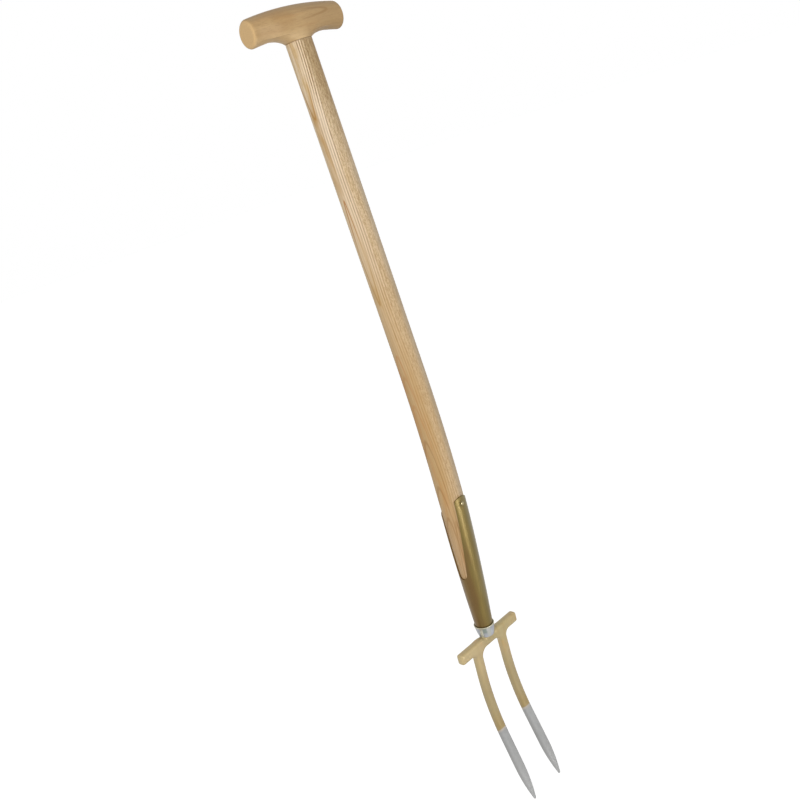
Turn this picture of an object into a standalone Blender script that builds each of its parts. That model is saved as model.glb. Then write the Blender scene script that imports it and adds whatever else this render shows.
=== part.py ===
"""Border fork: two forged tines, a strapped steel socket, an ash shaft and a wooden T-grip.

Metres, +Z up. The origin is the middle of the T-grip, on the axis of the shaft. The shaft runs down -Z,
leans back (+Y) at its lower end, and the tines curve forward again (-Y). +X is to the right of the front.
"""

import math

import bmesh
import bpy
from mathutils import Matrix, Vector

# Centre line of the whole tool, measured down from the middle of the grip
STRAIGHT_LENGTH = 0.480
CRANK_LENGTH = 0.254
CRANK_ANGLE = math.radians(6.2)
BELOW_CRANK_LENGTH = 0.186
TINE_STRAIGHT = 0.054
TINE_BEND_LENGTH = 0.111
TINE_BEND_ANGLE = math.radians(17.0)
TINE_LENGTH = 0.276

# Gap between pieces that touch
CLEARANCE = 0.0003

# T-grip
GRIP_LENGTH = 0.155
GRIP_HEIGHT = 0.0364
GRIP_DEPTH = 0.0328
GRIP_ARCH = 0.0060
GRIP_END_ROUNDING = 0.0045
NECK_HEIGHT = 0.0088
NECK_FLARE_ANGLE = math.radians(30.0)
NECK_TUCK = 0.0005

# Ash shaft
SHAFT_DIAMETER = 0.0360
SHAFT_BELLY_DIAMETER = 0.0377
BELLY_START = 0.420
SHOULDER_CHAMFER = 0.0006
SHAFT_END_INSIDE_SOCKET = 0.002

# Blind tenon of the shaft in the grip, and the wedge that spreads it
TENON_DIAMETER = 0.024
TENON_LENGTH = 0.036
WEDGE_LENGTH = 0.024
WEDGE_TOP_THICKNESS = 0.0044
WEDGE_TIP_THICKNESS = 0.0012

# Strapped socket: a rolled steel tube that runs up in a front and a rear strap
SHEET_THICKNESS = 0.0015
SOCKET_END_DIAMETER = 0.0274
SOCKET_WAIST_DIAMETER = 0.0365
SOCKET_WAIST_HEIGHT = 0.108
FRONT_STRAP_LENGTH = 0.220
REAR_STRAP_SHORTER_BY = 0.024
STRAP_TOP_WIDTH = 0.0240
STRAP_CROWN = 0.0070
WINDOW_FOOT = 0.0875
WINDOW_FOOT_RADIUS = 0.0083
WINDOW_BULGE = 0.0017

# Nails that hold the straps
NAIL_BELOW_STRAP_TOP = 0.0110
NAIL_HEAD_DIAMETER = 0.0058
NAIL_HEAD_HEIGHT = 0.0011
NAIL_RIM_HEIGHT = 0.0003
NAIL_SHANK_DIAMETER = 0.0028
NAIL_LENGTH = 0.016
NAIL_POINT_LENGTH = 0.004

# Zinc collar between socket and head
COLLAR_HEIGHT = 0.0190
COLLAR_WALL = 0.0011
COLLAR_RIM_ROUNDING = 0.0004
COLLAR_GAP = 0.0008
SOCKET_SEAT_DEPTH = 0.0018

# Forged head
CROSSBAR_LENGTH = 0.131
CROSSBAR_HEIGHT = 0.0160
CROSSBAR_THICKNESS = 0.0140
CROSSBAR_ROUNDING = 0.0042
TREAD_RISE = 0.0010
TREAD_RAMP = 0.0010
COLLAR_SEAT_MARGIN = 0.0012
TINE_SPACING = 0.0572
TINE_SPLAY = 0.0070
TINE_WIDTH = 0.0142
TINE_THICKNESS = 0.0130
TINE_EDGE_ROUNDING = 0.0044
INNER_FILLET = 0.0120
OUTER_FILLET = 0.0070
FILLET_SINK = 0.0005
TIP_LENGTH = 0.058
TIP_END_SHARE = 0.20
BOLSTER_FOOT_DIAMETER = 0.0200
BOLSTER_TOP_DIAMETER = 0.0160
BOLSTER_CYLINDER_TOP = 0.006
CORBEL_TOP = 0.0020
CORBEL_FOOT = 0.0110
TANG_ROOT_DIAMETER = 0.0110
TANG_POINT_DIAMETER = 0.0050
TANG_LENGTH = 0.100

# Fineness of the meshes
ROUND_SIDES = 32
NAIL_SIDES = 16
RING_STEP = 0.020
CORNER_POINTS = 5
ARC_STEPS = 8
BEVEL_SEGMENTS = 4

# How far a cutter runs past what it cuts
CUT_MARGIN = 0.004

STRETCHES = [
    (STRAIGHT_LENGTH, 0.0),
    (CRANK_LENGTH, CRANK_ANGLE),
    (BELOW_CRANK_LENGTH, 0.0),
    (TINE_STRAIGHT, 0.0),
    (TINE_BEND_LENGTH, -TINE_BEND_ANGLE),
    (TINE_LENGTH - TINE_STRAIGHT - TINE_BEND_LENGTH, 0.0),
]
CROSSBAR_TOP = STRAIGHT_LENGTH + CRANK_LENGTH + BELOW_CRANK_LENGTH
CROSSBAR_FOOT = CROSSBAR_TOP + CROSSBAR_HEIGHT
COLLAR_TOP = CROSSBAR_TOP - CLEARANCE - COLLAR_HEIGHT
SOCKET_END = COLLAR_TOP + SOCKET_SEAT_DEPTH
FRONT_STRAP_TOP = SOCKET_END - FRONT_STRAP_LENGTH
REAR_STRAP_TOP = FRONT_STRAP_TOP + REAR_STRAP_SHORTER_BY
STRAPS = {"front": (FRONT_STRAP_TOP, 1), "rear": (REAR_STRAP_TOP, -1)}
SHAFT_END = SOCKET_END - SHAFT_END_INSIDE_SOCKET
BOLSTER_HEIGHT = CROSSBAR_TOP - SHAFT_END - CLEARANCE
NECK_JOINT = GRIP_HEIGHT / 2 + NECK_HEIGHT
SHOULDER = NECK_JOINT + CLEARANCE
TENON_TOP = SHOULDER - TENON_LENGTH
COLLAR_TOP_DIAMETER = SOCKET_END_DIAMETER + 2 * (COLLAR_GAP + COLLAR_WALL)
COLLAR_FOOT_DIAMETER = BOLSTER_FOOT_DIAMETER + 2 * (COLLAR_GAP + COLLAR_WALL)
WINDOW_START = SOCKET_END - WINDOW_FOOT - WINDOW_FOOT_RADIUS

ACROSS = Matrix.Rotation(math.radians(90), 4, "X")
SIDE_VIEW = Matrix(((0, 0, 1, 0), (1, 0, 0, 0), (0, 1, 0, 0), (0, 0, 0, 1)))


def clear_scene():
    for obj in list(bpy.data.objects):
        bpy.data.objects.remove(obj, do_unlink=True)


def new_collection(name):
    collection = bpy.data.collections.new(name)
    bpy.context.scene.collection.children.link(collection)
    return collection


def centre_line(distance):
    """Y, Z and backward lean of the tool's centre line, at a distance down from the middle of the grip."""
    y, z, lean = 0.0, 0.0, 0.0
    for length, turn in STRETCHES:
        part = min(distance, length)
        end = lean + turn * part / length
        if turn:
            radius = length / turn
            y += radius * (math.cos(lean) - math.cos(end))
            z -= radius * (math.sin(end) - math.sin(lean))
        else:
            y += part * math.sin(lean)
            z -= part * math.cos(lean)
        lean = end
        distance -= part
        if distance <= 0:
            break
    return y, z, lean


def frame_at(distance):
    """Where something on the centre line stands: its -Z runs on down the tool and its -Y is the front."""
    y, z, lean = centre_line(distance)
    return Matrix.Translation((0, y, z)) @ Matrix.Rotation(lean, 4, "X")


def steps(start, end, longest):
    """Evenly spaced distances from start to end, no further apart than longest."""
    count = max(1, math.ceil(abs(end - start) / longest))
    return [start + (end - start) * i / count for i in range(count + 1)]


def finish(name, color, roughness, metallic=0.0):
    material = bpy.data.materials.new(name)
    material.use_nodes = True
    shader = material.node_tree.nodes["Principled BSDF"]
    shader.inputs["Base Color"].default_value = (*color, 1.0)
    shader.inputs["Roughness"].default_value = roughness
    shader.inputs["Metallic"].default_value = metallic
    return material


def add_piece(name, mesh, material, collection, smooth_below=math.radians(40)):
    obj = bpy.data.objects.new(name, mesh)
    collection.objects.link(obj)
    mesh.shade_smooth()
    mesh.set_sharp_from_angle(angle=smooth_below)
    mesh.materials.clear()
    mesh.materials.append(material)
    return obj


def add_helper(name, mesh, collection):
    obj = bpy.data.objects.new(name, mesh)
    collection.objects.link(obj)
    obj.hide_render = True
    obj.display_type = "WIRE"
    return obj


def boolean(obj, other, operation="DIFFERENCE"):
    modifier = obj.modifiers.new(other.name, "BOOLEAN")
    modifier.operation = operation
    modifier.solver = "EXACT"
    modifier.object = other


def mesh_of_curve(curve, matrix=None):
    """A closed mesh of a curve, with its end caps welded on."""
    holder = bpy.data.objects.new(curve.name, curve)
    bpy.context.scene.collection.objects.link(holder)
    graph = bpy.context.evaluated_depsgraph_get()
    mesh = bpy.data.meshes.new_from_object(holder.evaluated_get(graph))
    bpy.data.objects.remove(holder, do_unlink=True)
    form = bmesh.new()
    form.from_mesh(mesh)
    bmesh.ops.remove_doubles(form, verts=form.verts, dist=1e-6)
    bmesh.ops.recalc_face_normals(form, faces=form.faces)
    form.to_mesh(mesh)
    form.free()
    if matrix is not None:
        mesh.transform(matrix)
    return mesh


def rod(name, rings):
    """A round rod along the centre line. Each ring is a distance down the tool and a radius."""
    curve = bpy.data.curves.new(name, "CURVE")
    curve.dimensions = "3D"
    curve.bevel_depth = 1.0
    curve.bevel_resolution = (ROUND_SIDES - 4) // 2
    curve.use_fill_caps = True
    spline = curve.splines.new("POLY")
    spline.points.add(len(rings) - 1)
    for point, (distance, radius) in zip(spline.points, rings):
        y, z, _ = centre_line(distance)
        point.co = (0, y, z, 1)
        point.radius = radius
    return mesh_of_curve(curve)


def slab(name, outline, thickness, matrix):
    """A flat outline with square edges, its thickness centred on the plane of the outline."""
    curve = bpy.data.curves.new(name, "CURVE")
    curve.dimensions = "2D"
    curve.fill_mode = "BOTH"
    curve.extrude = thickness / 2
    spline = curve.splines.new("POLY")
    spline.points.add(len(outline) - 1)
    spline.use_cyclic_u = True
    for point, (x, y) in zip(spline.points, outline):
        point.co = (x, y, 0, 1)
    return mesh_of_curve(curve, matrix)


def turned(name, profile, sides, matrix):
    """A profile of (radius, height) points, running down its outer side, spun round its own Z."""
    form = bmesh.new()
    points = [form.verts.new((radius, 0, height)) for radius, height in profile]
    for first, second in zip(points, points[1:]):
        form.edges.new((first, second))
    bmesh.ops.spin(
        form,
        geom=form.verts[:] + form.edges[:],
        cent=(0, 0, 0),
        axis=(0, 0, 1),
        angle=2 * math.pi,
        steps=sides,
        use_merge=True,
    )
    bmesh.ops.remove_doubles(form, verts=form.verts, dist=1e-6)
    bmesh.ops.recalc_face_normals(form, faces=form.faces)
    mesh = bpy.data.meshes.new(name)
    form.to_mesh(mesh)
    form.free()
    mesh.transform(matrix)
    return mesh


def loft(name, rings):
    """A closed skin over rings that have as many points as each other, with a flat face at each end."""
    form = bmesh.new()
    loops = [[form.verts.new(point) for point in ring] for ring in rings]
    form.faces.new(loops[0])
    form.faces.new(loops[-1])
    for near, far in zip(loops, loops[1:]):
        for i in range(len(near)):
            j = (i + 1) % len(near)
            form.faces.new((near[i], near[j], far[j], far[i]))
    bmesh.ops.recalc_face_normals(form, faces=form.faces)
    mesh = bpy.data.meshes.new(name)
    form.to_mesh(mesh)
    form.free()
    return mesh


def oval(half_width, half_depth, sides=ROUND_SIDES):
    angles = [2 * math.pi * i / sides for i in range(sides)]
    return [(half_width * math.cos(a), half_depth * math.sin(a)) for a in angles]


def grip_bar_mesh():
    """The arched bar of the grip: upright oval rings along X, drawn in at the rounded ends."""
    half = GRIP_LENGTH / 2
    straight_half = half - GRIP_END_ROUNDING
    quarter = [math.pi / 2 * i / CORNER_POINTS for i in range(CORNER_POINTS + 1)]
    rounded = [
        (straight_half + GRIP_END_ROUNDING * math.cos(a), GRIP_END_ROUNDING * (1 - math.sin(a)))
        for a in quarter
    ]
    stations = [(-x, drawn_in) for x, drawn_in in rounded]
    stations += [(x, 0.0) for x in steps(-straight_half, straight_half, RING_STEP / 2)[1:-1]]
    stations += reversed(rounded)
    rings = []
    for x, drawn_in in stations:
        middle = -GRIP_ARCH * (x / half) ** 2
        ring = oval(GRIP_HEIGHT / 2 - drawn_in, GRIP_DEPTH / 2 - drawn_in)
        rings.append([(x, side, middle + rise) for rise, side in ring])
    return loft("grip_bar", rings)


def grip_neck_mesh():
    """The neck under the grip: round where it meets the shaft, flaring in an arc along the arms."""
    arc_radius = NECK_HEIGHT / (1 - math.cos(NECK_FLARE_ANGLE))
    joint_radius = SHAFT_DIAMETER / 2
    rings = []
    for i in range(ARC_STEPS + 1):
        slope = NECK_FLARE_ANGLE * (1 - i / ARC_STEPS)
        half_width = joint_radius + arc_radius * (math.sin(NECK_FLARE_ANGLE) - math.sin(slope))
        height = -NECK_JOINT + arc_radius * (math.cos(slope) - math.cos(NECK_FLARE_ANGLE))
        half_depth = joint_radius + (GRIP_DEPTH / 2 - joint_radius) * i / ARC_STEPS
        rings.append([(x, y, height) for x, y in oval(half_width, half_depth)])
    rings.append([(x, y, 0) for x, y in oval(half_width - NECK_TUCK, half_depth - NECK_TUCK)])
    return loft("grip_neck", rings)


def socket_radius(distance):
    """Outside of the socket and its straps: a curve through its end, its waist and the front strap's top."""
    height = SOCKET_END - distance
    places = [0.0, SOCKET_WAIST_HEIGHT, FRONT_STRAP_LENGTH]
    top_radius = SHAFT_BELLY_DIAMETER / 2 + CLEARANCE + SHEET_THICKNESS
    radii = [SOCKET_END_DIAMETER / 2, SOCKET_WAIST_DIAMETER / 2, top_radius]
    total = 0.0
    for i, radius in enumerate(radii):
        for j, place in enumerate(places):
            if j != i:
                radius *= (height - place) / (places[i] - place)
        total += radius
    return total


def shaft_radius(distance):
    """The shaft is straight, swells to its belly above the straps, and tapers inside the socket."""
    if distance >= FRONT_STRAP_TOP:
        return socket_radius(distance) - SHEET_THICKNESS - CLEARANCE
    share = max(0.0, (distance - BELLY_START) / (FRONT_STRAP_TOP - BELLY_START))
    eased = share * share * (3 - 2 * share)
    return (SHAFT_DIAMETER + (SHAFT_BELLY_DIAMETER - SHAFT_DIAMETER) * eased) / 2


def shaft_mesh():
    """The shaft with its tenon. Its shoulder is cut square, its edge barely broken."""
    rings = [(TENON_TOP, TENON_DIAMETER / 2), (SHOULDER, TENON_DIAMETER / 2)]
    rings.append((SHOULDER + SHOULDER_CHAMFER / 10, shaft_radius(SHOULDER) - SHOULDER_CHAMFER))
    body = steps(SHOULDER + SHOULDER_CHAMFER, FRONT_STRAP_TOP, RING_STEP)
    body += steps(FRONT_STRAP_TOP, SHAFT_END, RING_STEP)[1:]
    rings += [(distance, shaft_radius(distance)) for distance in body]
    return rod("shaft", rings)


def window_half_width(distance):
    """Half of a side window's width, seen from the side. It spreads up to the strap's top, with a bulge."""
    top = math.sqrt(socket_radius(FRONT_STRAP_TOP) ** 2 - (STRAP_TOP_WIDTH / 2) ** 2)
    share = (WINDOW_START - distance) / (WINDOW_START - FRONT_STRAP_TOP)
    spread = WINDOW_FOOT_RADIUS + (top - WINDOW_FOOT_RADIUS) * share
    return spread + WINDOW_BULGE * 4 * share * (1 - share)


def windows_mesh():
    """Cutter through both sides of the tube: a round foot whose sides spread up past the straps."""
    edge = []
    for i in range(ARC_STEPS + 1):
        angle = math.pi / 2 * i / ARC_STEPS
        drop, half = WINDOW_FOOT_RADIUS * math.cos(angle), WINDOW_FOOT_RADIUS * math.sin(angle)
        edge.append((WINDOW_START + drop, half))
    for distance in steps(WINDOW_START, FRONT_STRAP_TOP - CUT_MARGIN, RING_STEP)[1:]:
        edge.append((distance, window_half_width(distance)))
    outline = []
    for side in (-1, 1):
        points = [frame_at(distance) @ Vector((0, side * half, 0)) for distance, half in edge]
        outline += points[:0:-1] if side < 0 else points
    across = 2 * (socket_radius(FRONT_STRAP_TOP) + CUT_MARGIN)
    return slab("socket_windows", [(p.y, p.z) for p in outline], across, SIDE_VIEW)


def strap_top_mesh(name, distance, facing):
    """Cutter that leaves a strap with a crowned top. facing is 1 for the front strap, -1 for the rear one."""
    half = math.sqrt(socket_radius(distance) ** 2 - window_half_width(distance) ** 2)
    reach = socket_radius(distance) + CUT_MARGIN
    crown = []
    for i in range(2 * ARC_STEPS + 1):
        angle = math.pi * i / (2 * ARC_STEPS)
        crown.append((-half * math.cos(angle), -STRAP_CROWN * (1 - math.sin(angle))))
    above = REAR_STRAP_SHORTER_BY + 4 * CUT_MARGIN
    outline = [(-reach, above), (-reach, -STRAP_CROWN), *crown, (reach, -STRAP_CROWN), (reach, above)]
    ahead = Matrix.Translation((0, 0, facing * reach / 2))
    return slab(name, outline, reach, frame_at(distance) @ ACROSS @ ahead)


def socket_rings(offset, start, end):
    return [(distance, socket_radius(distance) + offset) for distance in steps(start, end, RING_STEP)]


def nail_place(strap_top, facing):
    """The nail's own Z points out of the strap, and its height 0 is the strap's outer face.

    It is turned by half a side, so that none of its corners lies on the tool's middle plane.
    """
    distance = strap_top + NAIL_BELOW_STRAP_TOP
    out = Matrix.Translation((0, 0, socket_radius(distance)))
    half_side = Matrix.Rotation(math.pi / NAIL_SIDES, 4, "Z")
    return frame_at(distance) @ Matrix.Rotation(facing * math.radians(90), 4, "X") @ out @ half_side


def nail_mesh(name, place):
    head, shank = NAIL_HEAD_DIAMETER / 2, NAIL_SHANK_DIAMETER / 2
    under = CLEARANCE
    dome = NAIL_HEAD_HEIGHT - NAIL_RIM_HEIGHT
    profile = [(0, under + NAIL_HEAD_HEIGHT)]
    for i in range(1, CORNER_POINTS + 1):
        angle = math.pi / 2 * i / CORNER_POINTS
        profile.append((head * math.sin(angle), under + NAIL_RIM_HEIGHT + dome * math.cos(angle)))
    profile += [(head, under), (shank, under), (shank, NAIL_POINT_LENGTH - NAIL_LENGTH), (0, -NAIL_LENGTH)]
    return turned(name, profile, NAIL_SIDES, place)


def nail_hole_mesh(name, place):
    radius, depth = NAIL_SHANK_DIAMETER / 2 + CLEARANCE, NAIL_LENGTH + CLEARANCE
    profile = [(0, CUT_MARGIN), (radius, CUT_MARGIN), (radius, -depth), (0, -depth)]
    return turned(name, profile, NAIL_SIDES, place)


def collar_mesh():
    """A conical cup without a floor. Its foot stands on the crossbar and its rim holds the socket's end."""
    top, foot, rim = COLLAR_TOP_DIAMETER / 2, COLLAR_FOOT_DIAMETER / 2, COLLAR_RIM_ROUNDING
    profile = [
        (top - rim, COLLAR_HEIGHT),
        (top, COLLAR_HEIGHT - rim),
        (foot + rim / 2, rim),
        (foot - rim / 2, 0),
        (foot - COLLAR_WALL, 0),
        (top - COLLAR_WALL, COLLAR_HEIGHT - rim),
        (top - COLLAR_WALL + rim, COLLAR_HEIGHT),
        (top - rim, COLLAR_HEIGHT),
    ]
    return turned("collar", profile, ROUND_SIDES, frame_at(CROSSBAR_TOP - CLEARANCE))


def bolster_mesh():
    """The round middle of the head: tang, shoulder under the shaft, and a corbel down to the crossbar."""
    foot, top = BOLSTER_FOOT_DIAMETER / 2, BOLSTER_TOP_DIAMETER / 2
    root, point = TANG_ROOT_DIAMETER / 2, TANG_POINT_DIAMETER / 2
    profile = [
        (0, BOLSTER_HEIGHT + TANG_LENGTH),
        (point, BOLSTER_HEIGHT + TANG_LENGTH - point),
        (root, BOLSTER_HEIGHT),
        (top, BOLSTER_HEIGHT),
        (foot, BOLSTER_CYLINDER_TOP),
        (foot, -CORBEL_TOP),
    ]
    lowest = CROSSBAR_THICKNESS / 2 - CROSSBAR_ROUNDING
    for i in range(1, ARC_STEPS + 1):
        share = i / ARC_STEPS
        radius = foot + (lowest - foot) * math.sin(math.pi / 2 * share)
        profile.append((radius, -CORBEL_TOP - (CORBEL_FOOT - CORBEL_TOP) * share))
    profile.append((0, -CORBEL_FOOT))
    return turned("bolster", profile, ROUND_SIDES, frame_at(CROSSBAR_TOP))


def tang_bore_mesh():
    """Cutter for the tang's tapered bore. Its taper runs on past the shaft's end."""
    root, point = TANG_ROOT_DIAMETER / 2 + CLEARANCE, TANG_POINT_DIAMETER / 2 + CLEARANCE
    top = TANG_LENGTH + CLEARANCE
    mouth = root + (root - point) * CUT_MARGIN / top
    profile = [(0, top), (point, top), (mouth, -CUT_MARGIN), (0, -CUT_MARGIN)]
    return turned("tang_bore", profile, ROUND_SIDES, frame_at(SHAFT_END))


def crossbar_mesh():
    """A bar with rounded edges. Clear of the collar's seat, its flat top ramps up a little to the treads."""
    form = bmesh.new()
    bmesh.ops.create_cube(form, size=1)
    bmesh.ops.scale(form, vec=(CROSSBAR_LENGTH, CROSSBAR_THICKNESS, CROSSBAR_HEIGHT), verts=form.verts)
    bmesh.ops.bevel(
        form,
        geom=form.verts[:] + form.edges[:],
        offset=CROSSBAR_ROUNDING,
        offset_type="OFFSET",
        segments=BEVEL_SEGMENTS,
        profile=0.5,
        affect="EDGES",
    )
    seat = COLLAR_FOOT_DIAMETER / 2 + COLLAR_SEAT_MARGIN
    for parting in (-seat - TREAD_RAMP, -seat, seat, seat + TREAD_RAMP):
        geometry = form.verts[:] + form.edges[:] + form.faces[:]
        bmesh.ops.bisect_plane(form, geom=geometry, plane_co=(parting, 0, 0), plane_no=(1, 0, 0))
    for vertex in form.verts:
        if vertex.co.z > 0 and abs(vertex.co.x) > seat + TREAD_RAMP / 2:
            vertex.co.z += TREAD_RISE
    mesh = bpy.data.meshes.new("fork_head")
    form.to_mesh(mesh)
    form.free()
    mesh.transform(frame_at(CROSSBAR_TOP + CROSSBAR_HEIGHT / 2))
    return mesh


def fillet_flare(drop, radius):
    """How far a fillet still stands out from the tine, at a drop below the crossbar's underside."""
    if drop >= radius:
        return 0.0
    rest = radius - max(0.0, drop)
    return radius - math.sqrt(radius**2 - rest**2)


def tip_share(rest):
    """A tine's width as a share of its full width, at a length above its point: a pointed arch."""
    if rest >= TIP_LENGTH:
        return 1.0
    return TIP_END_SHARE + (1 - TIP_END_SHARE) * (1 - (1 - rest / TIP_LENGTH) ** 2)


def tine_mesh(name, side):
    """Rounded rectangles down the curved centre line, flared by the fillets above, pointed below."""
    length = CROSSBAR_TOP + TINE_LENGTH
    reach = max(INNER_FILLET, OUTER_FILLET)
    distances = [CROSSBAR_TOP + CROSSBAR_HEIGHT / 2]
    distances += [CROSSBAR_FOOT - FILLET_SINK + reach * (i / ARC_STEPS) ** 2 for i in range(ARC_STEPS + 1)]
    distances += steps(distances[-1], length - TIP_LENGTH, RING_STEP / 2)[1:]
    distances += [length - TIP_LENGTH * (1 - i / ARC_STEPS) ** 1.5 for i in range(1, ARC_STEPS + 1)]
    rings = []
    for distance in distances:
        drop = distance - CROSSBAR_FOOT
        share = tip_share(length - distance)
        centre = side * (TINE_SPACING + TINE_SPLAY * (distance - CROSSBAR_TOP) / TINE_LENGTH) / 2
        inner = TINE_WIDTH / 2 * share + fillet_flare(drop, INNER_FILLET)
        outer = TINE_WIDTH / 2 * share + fillet_flare(drop, OUTER_FILLET)
        left, right = (outer, inner) if side < 0 else (inner, outer)
        half = TINE_THICKNESS / 2 * share
        rounding = TINE_EDGE_ROUNDING * share
        frame = frame_at(distance)
        corners = [(right, half, 0), (-left, half, 1), (-left, -half, 2), (right, -half, 3)]
        ring = []
        for x, y, quarter in corners:
            for i in range(CORNER_POINTS):
                angle = math.pi / 2 * (quarter + i / (CORNER_POINTS - 1))
                pull_x = x - math.copysign(rounding, x) + rounding * math.cos(angle)
                pull_y = y - math.copysign(rounding, y) + rounding * math.sin(angle)
                ring.append(frame @ Vector((centre + pull_x, pull_y, 0)))
        rings.append(ring)
    return loft(name, rings)


def wedge_mesh(name, gap, above):
    """The wedge in the tenon's end, its thickness along the arms. With a gap it is the kerf it sits in."""
    top = above - TENON_TOP
    foot = -TENON_TOP - WEDGE_LENGTH - gap
    spread = (WEDGE_TOP_THICKNESS - WEDGE_TIP_THICKNESS) / WEDGE_LENGTH / 2
    low = WEDGE_TIP_THICKNESS / 2 + gap
    high = low + spread * (top - foot)
    outline = [(-high, top), (-low, foot), (low, foot), (high, top)]
    return slab(name, outline, TENON_DIAMETER + 2 * CUT_MARGIN, ACROSS)


def column_mesh(name, radius, top, foot):
    return turned(name, [(0, top), (radius, top), (radius, foot), (0, foot)], ROUND_SIDES, Matrix.Identity(4))


def make_grip(pieces, helpers, wood):
    bore_radius, bore_top = TENON_DIAMETER / 2 + CLEARANCE, CLEARANCE - TENON_TOP
    bore = column_mesh("tenon_bore", bore_radius, bore_top, -NECK_JOINT - CUT_MARGIN)
    grip = add_piece("t_grip", grip_bar_mesh(), wood, pieces)
    boolean(grip, add_helper("grip_neck", grip_neck_mesh(), helpers), "UNION")
    boolean(grip, add_helper("tenon_bore", bore, helpers))


def make_wedge(pieces, helpers, wood):
    column = column_mesh("tenon_column", TENON_DIAMETER / 2, -TENON_TOP + CUT_MARGIN, -SHOULDER)
    wedge = add_piece("grip_wedge", wedge_mesh("grip_wedge", 0.0, 0.0), wood, pieces)
    boolean(wedge, add_helper("tenon_column", column, helpers), "INTERSECT")


def make_shaft(pieces, helpers, wood, nail_holes):
    shaft = add_piece("shaft", shaft_mesh(), wood, pieces)
    kerf = add_helper("wedge_kerf", wedge_mesh("wedge_kerf", CLEARANCE, CUT_MARGIN), helpers)
    bore = add_helper("tang_bore", tang_bore_mesh(), helpers)
    for cutter in (kerf, bore, *nail_holes):
        boolean(shaft, cutter)


def make_socket(pieces, helpers, steel, nail_holes):
    outside = rod("strap_socket", socket_rings(0, FRONT_STRAP_TOP, SOCKET_END))
    socket = add_piece("strap_socket", outside, steel, pieces)
    inside = socket_rings(-SHEET_THICKNESS, FRONT_STRAP_TOP - CUT_MARGIN, SOCKET_END + CUT_MARGIN)
    bore = add_helper("socket_bore", rod("socket_bore", inside), helpers)
    windows = add_helper("socket_windows", windows_mesh(), helpers)
    cutters = [bore, windows]
    for end, (strap_top, facing) in STRAPS.items():
        name = f"{end}_strap_top"
        cutters.append(add_helper(name, strap_top_mesh(name, strap_top, facing), helpers))
    for cutter in (*cutters, *nail_holes):
        boolean(socket, cutter)


def make_head(pieces, helpers, steel):
    head = add_piece("fork_head", crossbar_mesh(), steel, pieces)
    bolster = add_helper("bolster", bolster_mesh(), helpers)
    left = add_helper("left_tine", tine_mesh("left_tine", -1), helpers)
    right = add_helper("right_tine", tine_mesh("right_tine", 1), helpers)
    for shape in (bolster, left, right):
        boolean(head, shape, "UNION")


def main():
    clear_scene()
    pieces = new_collection("border_fork")
    helpers = new_collection("cutters")
    beech = finish("beech", (0.46, 0.30, 0.14), 0.55)
    ash = finish("ash", (0.58, 0.41, 0.22), 0.5)
    dark_wood = finish("wedge_wood", (0.33, 0.19, 0.09), 0.6)
    bronze = finish("bronze_paint", (0.22, 0.15, 0.05), 0.4, 0.4)
    gold = finish("pale_gold_paint", (0.48, 0.38, 0.20), 0.4, 0.3)
    zinc = finish("zinc", (0.62, 0.62, 0.66), 0.3, 1.0)
    steel = finish("bright_steel", (0.70, 0.70, 0.68), 0.25, 1.0)

    nail_holes = []
    for end, (strap_top, facing) in STRAPS.items():
        place = nail_place(strap_top, facing)
        add_piece(f"{end}_strap_nail", nail_mesh(f"{end}_strap_nail", place), steel, pieces)
        hole = f"{end}_nail_hole"
        nail_holes.append(add_helper(hole, nail_hole_mesh(hole, place), helpers))

    make_grip(pieces, helpers, beech)
    make_wedge(pieces, helpers, dark_wood)
    make_shaft(pieces, helpers, ash, nail_holes)
    make_socket(pieces, helpers, bronze, nail_holes)
    add_piece("collar", collar_mesh(), zinc, pieces)
    make_head(pieces, helpers, gold)


main()
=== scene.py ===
"""Border fork: an ash shaft with a wooden T-grip, a bronze strapped socket, a zinc collar and a forged head.

Metres, +Z up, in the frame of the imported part: the origin is the middle of the grip, the shaft runs down -Z,
-Y is the front and +X is to the right of it. The sections follow the fork as it is put together.
"""

import math

import bpy
import numpy as np
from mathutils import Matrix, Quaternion, Vector


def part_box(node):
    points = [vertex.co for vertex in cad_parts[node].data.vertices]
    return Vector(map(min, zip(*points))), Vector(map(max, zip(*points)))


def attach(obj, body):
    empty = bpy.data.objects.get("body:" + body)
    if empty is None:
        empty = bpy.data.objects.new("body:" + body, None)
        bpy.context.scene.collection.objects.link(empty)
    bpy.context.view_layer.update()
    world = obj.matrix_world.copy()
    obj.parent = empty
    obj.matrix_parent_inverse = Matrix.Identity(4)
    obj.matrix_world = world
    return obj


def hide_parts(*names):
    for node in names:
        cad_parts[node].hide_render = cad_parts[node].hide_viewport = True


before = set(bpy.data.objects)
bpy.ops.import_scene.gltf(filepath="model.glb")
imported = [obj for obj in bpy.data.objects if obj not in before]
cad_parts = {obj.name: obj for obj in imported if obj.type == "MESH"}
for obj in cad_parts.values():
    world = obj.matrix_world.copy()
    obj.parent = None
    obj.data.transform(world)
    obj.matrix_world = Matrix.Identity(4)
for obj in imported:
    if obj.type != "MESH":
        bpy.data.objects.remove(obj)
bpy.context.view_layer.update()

# Ash shaft. One stick of straight-grained ash, turned round, steamed to a gentle backward crank and sanded.
# Its top is a blind tenon, split for a wedge. Its lower end tapers in the socket and is bored for the tang.

STRAIGHT_LENGTH = 0.480
CRANK_LENGTH = 0.254
CRANK_ANGLE = math.radians(6.2)
BELOW_CRANK_LENGTH = 0.186
TINE_STRAIGHT = 0.054
TINE_BEND_LENGTH = 0.111
TINE_BEND_ANGLE = math.radians(17.0)
TINE_LENGTH = 0.276
CLEARANCE = 0.0003
SHARP_ABOVE = math.radians(35.0)

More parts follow.
